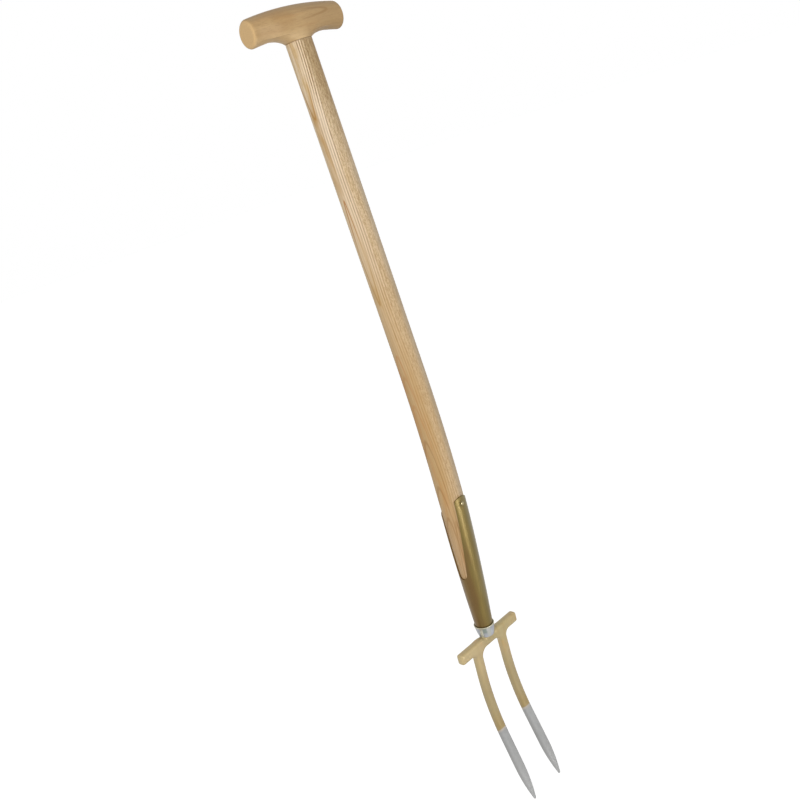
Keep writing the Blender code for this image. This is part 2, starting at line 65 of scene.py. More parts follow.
# The line that shaft, socket and tines follow: straight runs and arcs, each tangent to the last
STRETCHES = [
    (STRAIGHT_LENGTH, 0.0),
    (CRANK_LENGTH, CRANK_ANGLE),
    (BELOW_CRANK_LENGTH + TINE_STRAIGHT, 0.0),
    (TINE_BEND_LENGTH, -TINE_BEND_ANGLE),
    (TINE_LENGTH - TINE_STRAIGHT - TINE_BEND_LENGTH, 0.0),
]


def centre_line(down):
    """Y, Z and backward lean of the centre line at distances down from the middle of the grip.

    A straight run adds its length along the lean, and the first one also runs on upwards. An arc of radius
    length / turn adds the difference of the cosines and sines of the lean at its two ends.
    """
    y, z, lean = np.zeros_like(down), np.zeros_like(down), np.zeros_like(down)
    start, lean_before = 0.0, 0.0
    for length, turn in STRETCHES:
        part = np.clip(down - start, -np.inf if start == 0 else 0.0, length)
        if turn:
            radius = length / turn
            after = lean_before + turn * part / length
            y += radius * (math.cos(lean_before) - np.cos(after))
            z -= radius * (np.sin(after) - math.sin(lean_before))
            lean += after - lean_before
        else:
            y += part * math.sin(lean_before)
            z -= part * math.cos(lean_before)
        start += length
        lean_before += turn
    return y, z, lean


def beside_line(right, back, down):
    """Points that stand off the centre line, square to it, to the right and to the back."""
    right, back, down = np.broadcast_arrays(right, back, down)
    y, z, lean = centre_line(down.astype(float))
    return np.stack([right, y + back * np.cos(lean), z + back * np.sin(lean)], axis=-1)


def straightened(points):
    """Points as distances right of, behind and down along the centre line, as if it were straight.

    The distance down is stepped on by how far the point still lies ahead along the line.
    """
    down = -points[:, 2]
    for _ in range(4):
        y, z, lean = centre_line(down)
        down = down + (points[:, 1] - y) * np.sin(lean) - (points[:, 2] - z) * np.cos(lean)
    back = (points[:, 1] - y) * np.cos(lean) + (points[:, 2] - z) * np.sin(lean)
    return np.column_stack([points[:, 0], back, down])


def turned(profile, sides):
    """Circles round the centre line, one for each (distance down, radius) of a profile."""
    down, radius = np.array(profile, float).T
    angle = np.arange(sides) * 2 * math.pi / sides
    right = radius[:, None] * np.sin(angle)
    back = -radius[:, None] * np.cos(angle)
    return beside_line(right, back, down[:, None])


def smoothed(mesh):
    mesh.shade_smooth()
    mesh.set_sharp_from_angle(angle=SHARP_ABOVE)
    return mesh


def skin(name, rings, closed_loop=False):
    """A closed mesh over rings of points: quads join each ring to the next.

    The two end rings are either joined to each other, or each is closed by a fan round its mean. Faces point
    outwards where the rings turn anticlockwise about the way they follow each other.
    """
    count, sides = rings.shape[:2]
    index = np.arange(count * sides).reshape(count, sides)
    if closed_loop:
        index = np.concatenate([index, index[:1]])
    beside = np.roll(index, -1, axis=1)
    faces = np.stack([index[:-1], beside[:-1], beside[1:], index[1:]], axis=-1).reshape(-1, 4).tolist()
    points = rings.reshape(-1, 3)
    if not closed_loop:
        points = np.concatenate([points, rings[[0, -1]].mean(axis=1)])
        first, last = np.full(sides, count * sides), np.full(sides, count * sides + 1)
        faces += np.stack([first, beside[0], index[0]], axis=-1).tolist()
        faces += np.stack([last, index[-1], beside[-1]], axis=-1).tolist()
    mesh = bpy.data.meshes.new(name)
    mesh.from_pydata(points.tolist(), [], faces)
    return smoothed(mesh)


def cut(mesh, cutters):
    """The mesh with the volume of each cutter taken out of it."""
    body = bpy.data.objects.new(mesh.name, mesh)
    bpy.context.scene.collection.objects.link(body)
    tools = []
    for cutter in cutters:
        tool = bpy.data.objects.new(cutter.name, cutter)
        bpy.context.scene.collection.objects.link(tool)
        modifier = body.modifiers.new(cutter.name, "BOOLEAN")
        modifier.object = tool
        tools.append(tool)
    graph = bpy.context.evaluated_depsgraph_get()
    result = bpy.data.meshes.new_from_object(body.evaluated_get(graph))
    result.name = mesh.name
    for obj in [body, *tools]:
        bpy.data.objects.remove(obj)
    return smoothed(result)


def coordinates_of(mesh):
    flat = np.empty(len(mesh.vertices) * 3, np.float32)
    mesh.vertices.foreach_get("co", flat)
    return flat.reshape(-1, 3).astype(float)


def lay_straightened(mesh):
    """Keeps the straightened place of every point on the mesh, for patterns that follow the bent fork."""
    lay = mesh.attributes.new("straightened", "FLOAT_VECTOR", "POINT")
    lay.data.foreach_set("vector", straightened(coordinates_of(mesh)).astype(np.float32).ravel())


def new_piece(name, mesh, finish):
    piece = bpy.data.objects.new(name, mesh)
    bpy.context.scene.collection.objects.link(piece)
    mesh.materials.clear()
    mesh.materials.append(finish.material)
    return piece


def paint(red, green, blue):
    """A colour on the screen's scale of 0 to 255, as the linear colour that a shader takes."""
    share = np.array([red, green, blue]) / 255
    linear = np.where(share <= 0.04045, share / 12.92, ((share + 0.055) / 1.055) ** 2.4)
    return (*linear.tolist(), 1.0)


def add_node(tree, kind, inputs, output=0, **settings):
    """Adds a node, sets or links its inputs, and returns one of its outputs."""
    made = tree.nodes.new(kind)
    for name, value in settings.items():
        setattr(made, name, value)
    for key, value in inputs.items():
        if isinstance(value, bpy.types.NodeSocket):
            tree.links.new(value, made.inputs[key])
        else:
            made.inputs[key].default_value = value
    return made.outputs[output]


# These helpers add nodes to the tree of a value that they are given: the output of another node


def calculated(operation, first, second=0.0):
    return add_node(first.id_data, "ShaderNodeMath", {0: first, 1: second}, operation=operation)


def product(first, *others):
    for other in others:
        first = calculated("MULTIPLY", first, other)
    return first


def vector_of(operation, first, second=(0, 0, 0), output="Vector"):
    inputs = {0: first, 1: second}
    return add_node(first.id_data, "ShaderNodeVectorMath", inputs, output, operation=operation)


def coordinate(place, axis):
    return add_node(place.id_data, "ShaderNodeSeparateXYZ", {0: place}, axis)


def between(value, low, high, to_low=0.0, to_high=1.0):
    """The value's range from low to high, spread smoothly over another range and held at its ends."""
    inputs = {"Value": value, "From Min": low, "From Max": high, "To Min": to_low, "To Max": to_high}
    return add_node(value.id_data, "ShaderNodeMapRange", inputs, interpolation_type="SMOOTHSTEP")


def within(value, low, high, ease):
    """1 between low and high, falling smoothly to 0 over a width outside them."""
    return product(between(value, low - ease, low), between(value, high, high + ease, 1.0, 0.0))


def mix(share, first, second, blend="MIX"):
    inputs = {0: share, 6: first, 7: second}
    return add_node(share.id_data, "ShaderNodeMix", inputs, 2, data_type="RGBA", blend_type=blend)


def tinted(base, tone, *shares, blend="MIX"):
    """The base mixed with a tone, given on the screen's scale, by the product of the shares."""
    return mix(product(*shares), base, paint(*tone), blend)


def moved(place, shift=(0, 0, 0), turn=(0, 0, 0), scale=(1, 1, 1)):
    inputs = {"Vector": place, "Location": shift, "Rotation": turn, "Scale": scale}
    return add_node(place.id_data, "ShaderNodeMapping", inputs)


def noise(place, scale, detail=2.0, rough=0.5):
    """Smooth noise from 0 to 1, with its size in each direction set by three scales per metre."""
    inputs = {"Vector": moved(place, scale=scale), "Scale": 1.0, "Detail": detail, "Roughness": rough}
    return add_node(place.id_data, "ShaderNodeTexNoise", inputs)


class Finish:
    """A material with one shader. Chains of nodes can give its colour, roughness and bump."""

    def __init__(self, name, roughness, metallic=0.0, specular=0.5, coat=0.0, coat_roughness=0.1):
        self.material = bpy.data.materials.new(name)
        self.material.use_nodes = True
        self.tree = self.material.node_tree
        self.shader = self.tree.nodes["Principled BSDF"]
        for key, value in [
            ("Roughness", roughness),
            ("Metallic", metallic),
            ("Specular IOR Level", specular),
            ("Coat Weight", coat),
            ("Coat Roughness", coat_roughness),
        ]:
            self.shader.inputs[key].default_value = value

    def place(self, attribute=None):
        """Where a point is: on the object, or by one of the mesh's own attributes."""
        if attribute:
            return add_node(self.tree, "ShaderNodeAttribute", {}, "Vector", attribute_name=attribute)
        return add_node(self.tree, "ShaderNodeTexCoord", {}, "Object")

    def link(self, value, key):
        self.tree.links.new(value, self.shader.inputs[key])

    def colour(self, value):
        self.link(value, "Base Color")

    def roughness(self, value):
        self.link(value, "Roughness")

    def bump(self, height, distance, strength=1.0):
        inputs = {"Height": height, "Distance": distance, "Strength": strength}
        self.link(add_node(self.tree, "ShaderNodeBump", inputs), "Normal")


def wood_finish(name, place_of, pith, slant, ring_width, tones, ring_strength, roughness, grain_shift=None):
    """Sanded wood whose grain runs along the third coordinate.

    Growth rings are cylinders round the pith, which lies at a distance from the piece and slants a little
    against it. A tree's rings aren't straight, so the grain may also be shifted by an amount that changes
    along the piece. Each ring starts pale, darkens slowly and ends in a row of pores. Long fibres, short
    dashes and cloudy patches of a warmer tone lie over the rings. Returns the finish and what a piece builds
    on: the place, the colour so far and the dashes.
    """
    finish = Finish(name, roughness, specular=0.3)
    light, mid, dark, warm = tones
    place = place_of(finish)

    wander = noise(place, (16, 16, 3.0), detail=1.0)
    aside = add_node(finish.tree, "ShaderNodeCombineXYZ", {0: between(wander, 0.3, 0.7, -0.0014, 0.0014)})
    bent = vector_of("ADD", place, aside)
    if grain_shift:
        bent = vector_of("SUBTRACT", bent, grain_shift(place))
    slanted = moved(bent, shift=(*pith, 0), turn=(*slant, 0))
    flat = vector_of("MULTIPLY", slanted, (1, 1, 0))
    distance = vector_of("LENGTH", flat, output="Value")
    uneven = noise(place, (45, 45, 1.2), detail=1.0)
    count = calculated("ADD", calculated("DIVIDE", distance, ring_width), uneven)
    phase = calculated("FRACT", count)
    late = between(phase, 0.10, 0.80)
    pores_row = product(between(phase, 0.42, 0.62), between(phase, 0.86, 1.0, 1.0, 0.0))
    pale_band = product(between(phase, 0.0, 0.14), between(phase, 0.28, 0.50, 1.0, 0.0))

    fibres = noise(place, (620, 620, 11), detail=3.0, rough=0.6)
    dashes = noise(place, (900, 900, 150), detail=2.0, rough=0.6)
    clouds = noise(place, (55, 55, 9), detail=2.0)
    strength = ring_strength(place)
    broken = between(dashes, 0.28, 0.55, 0.6, 1.0)

    base = mix(between(fibres, 0.30, 0.70), paint(*mid), paint(*light))
    base = tinted(base, warm, between(clouds, 0.50, 0.66, 0.0, 0.55))
    base = tinted(base, dark, late, 0.15)
    base = tinted(base, light, pale_band, strength)
    base = tinted(base, dark, pores_row, broken, strength)
    relief = calculated("ADD", product(fibres, 0.5), product(dashes, -0.6))
    finish.bump(relief, 0.00012)
    return finish, place, base, dashes


def smooth_step(share):
    share = np.clip(share, 0, 1)
    return share * share * (3 - 2 * share)


COLLAR_HEIGHT = 0.0190
SOCKET_SEAT_DEPTH = 0.0018
CROSSBAR_TOP = STRAIGHT_LENGTH + CRANK_LENGTH + BELOW_CRANK_LENGTH
SOCKET_END = CROSSBAR_TOP - CLEARANCE - COLLAR_HEIGHT + SOCKET_SEAT_DEPTH

SHAFT_DIAMETER = 0.0360
SHAFT_BELLY_DIAMETER = 0.0377
BELLY_START = 0.420
SHAFT_SIDES = 96
SHAFT_RING_STEP = 0.005
EDGE_ROUNDING = 0.0007
SHAFT_END_INSIDE_SOCKET = 0.002
SHAFT_END = SOCKET_END - SHAFT_END_INSIDE_SOCKET

NECK_JOINT = 0.0270
TENON_DIAMETER = 0.024
TENON_TOP = -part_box("shaft")[1].z

TANG_ROOT_DIAMETER = 0.0110
TANG_POINT_DIAMETER = 0.0050
TANG_LENGTH = 0.100

SHEET_THICKNESS = 0.0015
SOCKET_END_DIAMETER = 0.0274
SOCKET_WAIST_DIAMETER = 0.0365
SOCKET_WAIST_HEIGHT = 0.108
FRONT_STRAP_LENGTH = 0.220
REAR_STRAP_SHORTER_BY = 0.024
FRONT_STRAP_TOP = SOCKET_END - FRONT_STRAP_LENGTH
REAR_STRAP_TOP = FRONT_STRAP_TOP + REAR_STRAP_SHORTER_BY

strap_top_radius = SHAFT_BELLY_DIAMETER / 2 + CLEARANCE + SHEET_THICKNESS
socket_curve = np.polyfit(
    [0, SOCKET_WAIST_HEIGHT, FRONT_STRAP_LENGTH],
    [SOCKET_END_DIAMETER / 2, SOCKET_WAIST_DIAMETER / 2, strap_top_radius],
    2,
)


def socket_radius(down):
    """Outside of the socket: a parabola through its end, its waist and the front strap's top."""
    return np.polyval(socket_curve, SOCKET_END - down)


def shaft_radius(down):
    """Straight, then swelling smoothly to the belly above the straps, then as wide as the socket's bore."""
    share = smooth_step((down - BELLY_START) / (FRONT_STRAP_TOP - BELLY_START))
    above = (SHAFT_DIAMETER + (SHAFT_BELLY_DIAMETER - SHAFT_DIAMETER) * share) / 2
    return np.where(down < FRONT_STRAP_TOP, above, socket_radius(down) - SHEET_THICKNESS - CLEARANCE)


def rounded_corner(corner, before, after, radius):
    """Points of a curve that rounds a profile's corner. Before and after are points on its two edges."""
    corner, before, after = (np.array(point, float) for point in (corner, before, after))
    start = corner + (before - corner) / np.linalg.norm(before - corner) * radius
    end = corner + (after - corner) / np.linalg.norm(after - corner) * radius
    share = np.linspace(0, 1, 5)[:, None]
    curve = (1 - share) ** 2 * start + 2 * share * (1 - share) * corner + share**2 * end
    return curve.tolist()


shoulder = NECK_JOINT + CLEARANCE
outside = np.arange(shoulder + 2 * EDGE_ROUNDING, SHAFT_END - 2 * EDGE_ROUNDING, SHAFT_RING_STEP)[::-1]
bore_root = TANG_ROOT_DIAMETER / 2 + CLEARANCE
end_radius = float(shaft_radius(np.array(SHAFT_END)))
tenon_radius = TENON_DIAMETER / 2
shaft_profile = [
    (SHAFT_END - TANG_LENGTH - CLEARANCE, TANG_POINT_DIAMETER / 2 + CLEARANCE),
    (SHAFT_END - TANG_LENGTH / 2, (bore_root + TANG_POINT_DIAMETER / 2 + CLEARANCE) / 2),
    (SHAFT_END, bore_root),
    *rounded_corner((SHAFT_END, end_radius), (SHAFT_END, 0), (0, end_radius), EDGE_ROUNDING),
    *zip(outside, shaft_radius(outside)),
    *rounded_corner((shoulder, SHAFT_DIAMETER / 2), (1, SHAFT_DIAMETER / 2), (shoulder, 0), EDGE_ROUNDING),
    (shoulder, tenon_radius),
    *rounded_corner((TENON_TOP, tenon_radius), (1, tenon_radius), (TENON_TOP, 0), EDGE_ROUNDING),
]

WEDGE_LENGTH = 0.024
WEDGE_TOP_THICKNESS = 0.0044
WEDGE_TIP_THICKNESS = 0.0012

# How far a cutter reaches past what it cuts
CUT_MARGIN = 0.004


def wedge_rings(radius, gap, top, foot):
    """A slab that thickens towards its top, cut round by the tenon's cylinder.

    Each ring is a circle whose width is held within the slab's thickness at that height.
    """
    height = np.linspace(foot, top, 9)[:, None]
    share = (height + TENON_TOP + WEDGE_LENGTH) / WEDGE_LENGTH
    half = (WEDGE_TIP_THICKNESS + (WEDGE_TOP_THICKNESS - WEDGE_TIP_THICKNESS) * share) / 2 + gap
    angle = np.linspace(0, 2 * math.pi, 64, endpoint=False)
    right = np.clip(radius * np.sin(angle), -half, half)
    back = np.broadcast_to(-radius * np.cos(angle), right.shape)
    return beside_line(right, back, -height)


NAIL_BELOW_STRAP_TOP = 0.0110
NAIL_SHANK_DIAMETER = 0.0028
NAIL_LENGTH = 0.016
NAIL_SIDES = 40
STRAPS = [("front", FRONT_STRAP_TOP, 1), ("rear", REAR_STRAP_TOP, -1)]


def nail_rings(profile, strap_top, facing):
    """Rings round a nail's own axis, which points straight out of the strap at the front or the rear.

    The profile gives (radius, height out of the strap's face).
    """
    down = strap_top + NAIL_BELOW_STRAP_TOP
    radius, out = np.array(profile, float).T[:, :, None]
    angle = np.arange(NAIL_SIDES) * 2 * math.pi / NAIL_SIDES
    right = facing * radius * np.sin(angle)
    back = -facing * (socket_radius(down) + out)
    return beside_line(right, back, down + radius * np.cos(angle))


def nail_hole(end, strap_top, facing):
    radius = NAIL_SHANK_DIAMETER / 2 + CLEARANCE
    profile = [(radius, -NAIL_LENGTH - CLEARANCE), (radius, CUT_MARGIN)]
    return skin(f"{end}_nail_hole", nail_rings(profile, strap_top, facing))


kerf_top = -TENON_TOP + CUT_MARGIN
kerf_foot = -TENON_TOP - WEDGE_LENGTH - CLEARANCE
kerf = skin("wedge_kerf", wedge_rings(tenon_radius + CUT_MARGIN, CLEARANCE, kerf_top, kerf_foot))
shaft_cutters = [kerf, *[nail_hole(*strap) for strap in STRAPS]]
shaft_mesh = cut(skin("ash_shaft", turned(shaft_profile, SHAFT_SIDES)), shaft_cutters)
lay_straightened(shaft_mesh)

# Across the rings where they stand on edge, from the pale side of the shaft to its browner side
ACROSS_GRAIN = (0.773, -0.634, 0.0)


def across_and_down(place):
    return vector_of("DOT_PRODUCT", place, ACROSS_GRAIN, "Value"), coordinate(place, 2)


def ash_sweep(down):
    """How far the grain has moved from its place at the top: it sweeps left, and lower down back right."""
    sweep = between(down, 0.03, 0.15, 0.0, -0.0056)
    for start, end, shift in [(0.19, 0.30, 0.0026), (0.38, 0.52, 0.0044), (0.50, 0.68, 0.0100)]:
        sweep = calculated("ADD", sweep, between(down, start, end, 0.0, shift))
    return sweep


def ash_shift(place):
    return vector_of("MULTIPLY", ash_sweep(across_and_down(place)[1]), ACROSS_GRAIN)


def ash_rings(place):
    """The rows of pores are bold where the rings stand on edge, left of the front, and faint elsewhere.

    They are boldest near the grip, thin out further down, and some rings are stronger than others.
    """
    across, down = across_and_down(place)
    middle = calculated("ADD", between(down, 0.38, 0.60, 0.0005, -0.0080), ash_sweep(down))
    bold = within(calculated("SUBTRACT", across, middle), -0.0044, 0.0046, 0.0028)
    bold = product(bold, between(down, 0.16, 0.55, 0.95, 0.45))
    unlike = between(noise(place, (210, 210, 5), detail=1.0), 0.40, 0.60, 0.45, 1.0)
    return product(calculated("ADD", bold, 0.10), unlike)


def cut_rings(across, down, tip, middle, width, length, thickness=0.0005):
    """A pointed arch where the surface cuts nearly flat through a ring. A negative length turns it over.

    Its line is a parabola: the way down from the tip less the square of the way aside from the middle, each
    as a share of the arch's length and width. Divided by its own slope, it keeps a nearly even thickness.
    """
    slope_at_tip = 60.0
    depth = calculated("DIVIDE", calculated("SUBTRACT", down, tip), length)
    aside = calculated("DIVIDE", calculated("SUBTRACT", across, middle), width)
    nest = calculated("SUBTRACT", depth, product(aside, aside))
    slope = calculated("ADD", product(calculated("ABSOLUTE", aside), 2 / width), slope_at_tip)
    line = within(calculated("DIVIDE", nest, slope), -thickness * 0.4, thickness * 0.6, thickness)
    return product(line, between(depth, 0.5, 1.6, 1.0, 0.0))


def ash_finish():
    """Straight-grained ash, pale at the top, more golden lower down, and greyer and a little darker along its
    right edge, where shade and a cool reflection are painted.

    Its flecks are stronger on the right, which is browner near the grip. Pale strips lie along the bold rings
    and down the left. The left edge has mottled and ochre patches, and the arches of rings cut nearly flat.
    """
    finish, place, base, _ = wood_finish(
        "sanded_ash",
        lambda finish: finish.place("straightened"),
        pith=(0.0593, -0.0486),
        slant=(math.radians(0.5), math.radians(0.6)),
        ring_width=0.0034,
        tones=[(244, 222, 192), (217, 191, 153), (134, 100, 62), (206, 174, 126)],
        ring_strength=ash_rings,
        roughness=0.55,
        grain_shift=ash_shift,
    )
    across, down = across_and_down(place)

    speckle = between(across, -0.0030, 0.0050, 0.125, 0.5)
    for size in [(620, 620, 100), (1150, 1150, 330)]:
        flecks = noise(place, size, detail=1.0)
        base = tinted(base, (172, 140, 96), speckle, between(flecks, 0.50, 0.60))
        base = tinted(base, (228, 206, 168), speckle, between(flecks, 0.48, 0.38))
    right_side, near_top = between(across, -0.002, 0.009), between(down, 0.05, 0.22, 0.76, 0.22)
    base = tinted(base, (190, 177, 148), right_side, near_top, blend="MULTIPLY")

    from_lines = calculated("SUBTRACT", across, ash_sweep(down))
    pale_strip = product(within(from_lines, -0.0050, 0.0040, 0.0030), within(down, 0.13, 0.33, 0.05))
    base = tinted(base, (250, 234, 214), pale_strip, 0.24)
    pale_edge = between(across, -0.0030, -0.0080)
    base = tinted(base, (240, 218, 184), pale_edge, within(down, 0.28, 0.36, 0.07), 0.40)
    base = tinted(base, (244, 222, 186), between(across, -0.0100, -0.0160, 0.0, 0.30))

    patches = noise(place, (130, 130, 30), detail=2.0)
    mottle = product(
        between(across, -0.0050, -0.0090),
        between(down, 0.09, 0.13, 1.0, 0.0),
        between(patches, 0.46, 0.60, 0.0, 0.48),
    )
    base = tinted(base, (196, 160, 96), mottle)
    edge_band = within(across, -0.0150, -0.0108, 0.0032)
    ochre = product(
        edge_band,
        within(down, 0.128, 0.205, 0.040),
        between(down, 0.140, 0.175, 1.0, 0.74),
        between(patches, 0.36, 0.56, 0.45, 1.0),
    )
    base = tinted(base, (188, 146, 84), ochre, 0.80)
    base = tinted(base, (188, 150, 72), edge_band, within(down, 0.364, 0.380, 0.012), 0.30)

    golden = product(within(down, 0.58, 0.58, 0.50), 0.76, between(across, -0.002, 0.010, 1.0, 0.60))
    base = tinted(base, (180, 142, 86), golden)
    # Painted shade and a painted cool reflection: the right edge is greyer and a little darker
    painted_shade_and_reflection_right = product(between(across, 0.009, 0.016, 0.0, 0.42), between(down, 0.14, 0.24))
    base = tinted(base, (186, 175, 156), painted_shade_and_reflection_right)
    glowing = product(
        between(noise(place, (120, 120, 17), detail=2.0), 0.50, 0.64),
        between(across, 0.002, -0.006),
        between(down, 0.42, 0.52, 0.0, 0.36),
    )
    base = tinted(base, (190, 134, 74), glowing)
    # Painted shade: the wood in the window left of the front strap is darker
    painted_shade_beside_strap = product(between(down, 0.685, 0.735), between(across, 0.006, -0.002))
    base = tinted(base, (170, 130, 82), painted_shade_beside_strap, 0.34)

    for tip, middle, width, length, depth, tone in [
        (0.126, -0.0128, 0.0045, -0.045, 0.75, (176, 128, 66)),
        (0.239, -0.0124, 0.0026, 0.055, 0.85, (176, 118, 60)),
        (0.383, -0.0119, 0.0040, -0.070, 0.62, (170, 126, 64)),
        (0.460, -0.0134, 0.0050, 0.050, 0.40, (188, 120, 66)),
        (0.492, -0.0132, 0.0080, 0.080, 0.35, (180, 122, 70)),
        (0.535, -0.0130, 0.0080, 0.080, 0.35, (186, 124, 70)),
        (0.590, -0.0129, 0.0100, 0.100, 0.42, (150, 106, 60)),
        (0.662, -0.0135, 0.0100, 0.100, 0.40, (150, 106, 60)),
        (0.712, -0.0125, 0.0090, 0.090, 0.42, (146, 104, 58)),
        (0.720, -0.0030, 0.0085, 0.140, 0.36, (146, 104, 58)),
    ]:
        arch = cut_rings(across, down, tip, middle, width, length)
        base = tinted(base, tone, arch, depth)
    finish.colour(base)
    return finish


ash_shaft = new_piece("ash_shaft", shaft_mesh, ash_finish())
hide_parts("shaft")
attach(ash_shaft, "root")

# Wedge. A slip of darker hardwood driven into the tenon's saw kerf, where it spreads the tenon in the blind
# mortise of the grip and locks it there for good.

wedge_wood, _, wedge_colour, _ = wood_finish(
    "sawn_hardwood",
    lambda finish: finish.place(),
    pith=(0.03, 0.02),
    slant=(0, 0),
    ring_width=0.0016,
    tones=[(150, 112, 74), (128, 92, 58), (84, 56, 34), (140, 96, 56)],
    ring_strength=lambda place: 0.6,
    roughness=0.7,
)
wedge_wood.colour(wedge_colour)
wedge_mesh = skin("locking_wedge", wedge_rings(tenon_radius, 0, -TENON_TOP, -TENON_TOP - WEDGE_LENGTH))
locking_wedge = new_piece("locking_wedge", wedge_mesh, wedge_wood)
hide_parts("grip_wedge")
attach(locking_wedge, "root")

# T-grip. An arched bar of oiled hardwood with an oval section and nearly flat ends. It is shaped in one
# piece with the neck under it, whose flare flows into the arms and which meets the shaft in a fine joint.

GRIP_LENGTH = 0.155
GRIP_HEIGHT = 0.0364
GRIP_DEPTH = 0.0328
GRIP_ARCH = 0.0060
GRIP_END_ROUNDING = 0.0045
NECK_HEIGHT = 0.0088
NECK_FLARE_ANGLE = math.radians(30.0)
NECK_BLEND = 0.0085
NECK_TOP_HALF_DEPTH = 0.0135

# The lattices that the grip and the head are worked out on, and the room round a piece along and across it
CELL = 0.0009
ROOM_ALONG = 0.004
ROOM_ACROSS = 0.006
EVENING_ROUNDS = 6
SLIDES_EACH_ROUND = 2
LEAST_SLOPE_SQUARED = 0.05


def zero_surface(name, node, field, low, high, bend=None):
    """A closed mesh of the surface on which a field is zero. The field is a distance, negative inside.

    The field is worked out on a lattice between two corners. Each lattice edge that crosses the surface gets
    a quad, whose corners are the four cubes round that edge. The cubes' middles are then evened out, each
    moved to the mean of its neighbours, and slid down the field's slope onto the surface, a few times over.
    Bend maps them to the piece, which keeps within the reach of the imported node.
    """
    axes = [np.arange(start, end, CELL) for start, end in zip(low, high)]
    value = field(*np.meshgrid(*axes, indexing="ij", sparse=True))
    inside = value < 0
    cubes = tuple(size - 1 for size in inside.shape)
    quads = []
    for axis in range(3):
        crossed = np.argwhere(np.diff(inside.astype(np.int8), axis=axis))
        leaves = inside[tuple(crossed.T)]
        corners = []
        for back, over in ((1, 1), (0, 1), (0, 0), (1, 0)):
            cube = crossed.copy()
            cube[:, (axis + 1) % 3] -= back
            cube[:, (axis + 2) % 3] -= over
            corners.append(np.ravel_multi_index(tuple(cube.T), cubes))
        corners = np.stack(corners, axis=1)
        quads.append(np.where(leaves[:, None], corners, corners[:, ::-1]))
    used, quads = np.unique(np.concatenate(quads), return_inverse=True)
    quads = quads.reshape(-1, 4)
    points = np.array(low) + (np.column_stack(np.unravel_index(used, cubes)) + 0.5) * CELL

    ends = np.concatenate([quads[:, [i, (i + 1) % 4]] for i in range(4)])
    neighbours = np.bincount(ends[:, 0])[:, None]
    nudges = np.eye(3) * CELL / 20
    for turn in range(EVENING_ROUNDS):
        if turn:
            sums = [np.bincount(ends[:, 0], points[ends[:, 1], i]) for i in range(3)]
            points = np.column_stack(sums) / neighbours
        for _ in range(SLIDES_EACH_ROUND):
            rises = [field(*(points + nudge).T) - field(*(points - nudge).T) for nudge in nudges]
            slope = np.column_stack(rises) / (CELL / 10)
            steps = field(*points.T) / np.maximum((slope**2).sum(axis=1), LEAST_SLOPE_SQUARED)
            points = points - np.clip(slope * steps[:, None], -CELL, CELL)
    if bend:
        points = bend(points)
    points = np.clip(points, *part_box(node))
    mesh = bpy.data.meshes.new(name)
    mesh.from_pydata(points.tolist(), [], quads.tolist())
    return smoothed(mesh)


def blended(first, second, reach):
    """The nearer of two surfaces, with the crease between them filled over a reach by a parabola."""
    share = np.clip(0.5 + (second - first) / (2 * reach), 0, 1)
    return second + (first - second) * share - reach * share * (1 - share)


def rounded_overlap(first, second, rounding):
    """The overlap of two shapes, its edges rounded: quarter circles join the two surfaces."""
    one, other = first + rounding, second + rounding
    corner = np.hypot(np.maximum(one, 0), np.maximum(other, 0))
    return np.minimum(np.maximum(one, other), 0) + corner - rounding


def grip_field(x, y, z):
    """Distance from the grip's surface: an arched oval bar blended with the oval neck below it."""
    middle = -GRIP_ARCH * (x / (GRIP_LENGTH / 2)) ** 2
    oval = np.hypot((z - middle) / (GRIP_HEIGHT / 2), y / (GRIP_DEPTH / 2)) - 1
    bar = rounded_overlap(oval * GRIP_DEPTH / 2, np.abs(x) - GRIP_LENGTH / 2, GRIP_END_ROUNDING)
    flare_radius = NECK_HEIGHT / (1 - math.cos(NECK_FLARE_ANGLE))
    rise = np.clip(z + NECK_JOINT, 0, NECK_HEIGHT)
    slope = np.arccos(np.clip(math.cos(NECK_FLARE_ANGLE) + rise / flare_radius, -1, 1))
    half_width = SHAFT_DIAMETER / 2 + flare_radius * (math.sin(NECK_FLARE_ANGLE) - np.sin(slope))
    up = smooth_step((z + NECK_JOINT) / NECK_JOINT)
    half_depth = SHAFT_DIAMETER / 2 - (SHAFT_DIAMETER / 2 - NECK_TOP_HALF_DEPTH) * up
    neck = (np.hypot(x / half_width, y / half_depth) - 1) * half_depth
    neck = np.maximum(neck, z)
    return blended(bar, neck, NECK_BLEND)


def grip_blank(x, y, z):
    """The grip with its neck a little too long, before it is trimmed at the joint."""
    return np.maximum(grip_field(x, y, z), -z - NECK_JOINT - CUT_MARGIN)


grip_reach = np.array([GRIP_LENGTH / 2 + ROOM_ALONG, GRIP_DEPTH / 2 + ROOM_ACROSS])
grip_low = (*-grip_reach, -NECK_JOINT - 2 * CUT_MARGIN)
grip_high = (*grip_reach, GRIP_HEIGHT / 2 + ROOM_ACROSS)
grip_mesh = zero_surface("wooden_grip", "t_grip", grip_blank, grip_low, grip_high)

TRIM_RADIUS = 0.06
TRIM_DEPTH = 0.03

# The cutter trims the neck at the joint and bores the mortise above it
mortise_radius = tenon_radius + CLEARANCE
mortise_profile = [
    (NECK_JOINT + TRIM_DEPTH, TRIM_RADIUS),
    (NECK_JOINT, TRIM_RADIUS),
    (NECK_JOINT, mortise_radius),
    (TENON_TOP - CLEARANCE, mortise_radius),
]
grip_mesh = cut(grip_mesh, [skin("mortise", turned(mortise_profile, SHAFT_SIDES))])


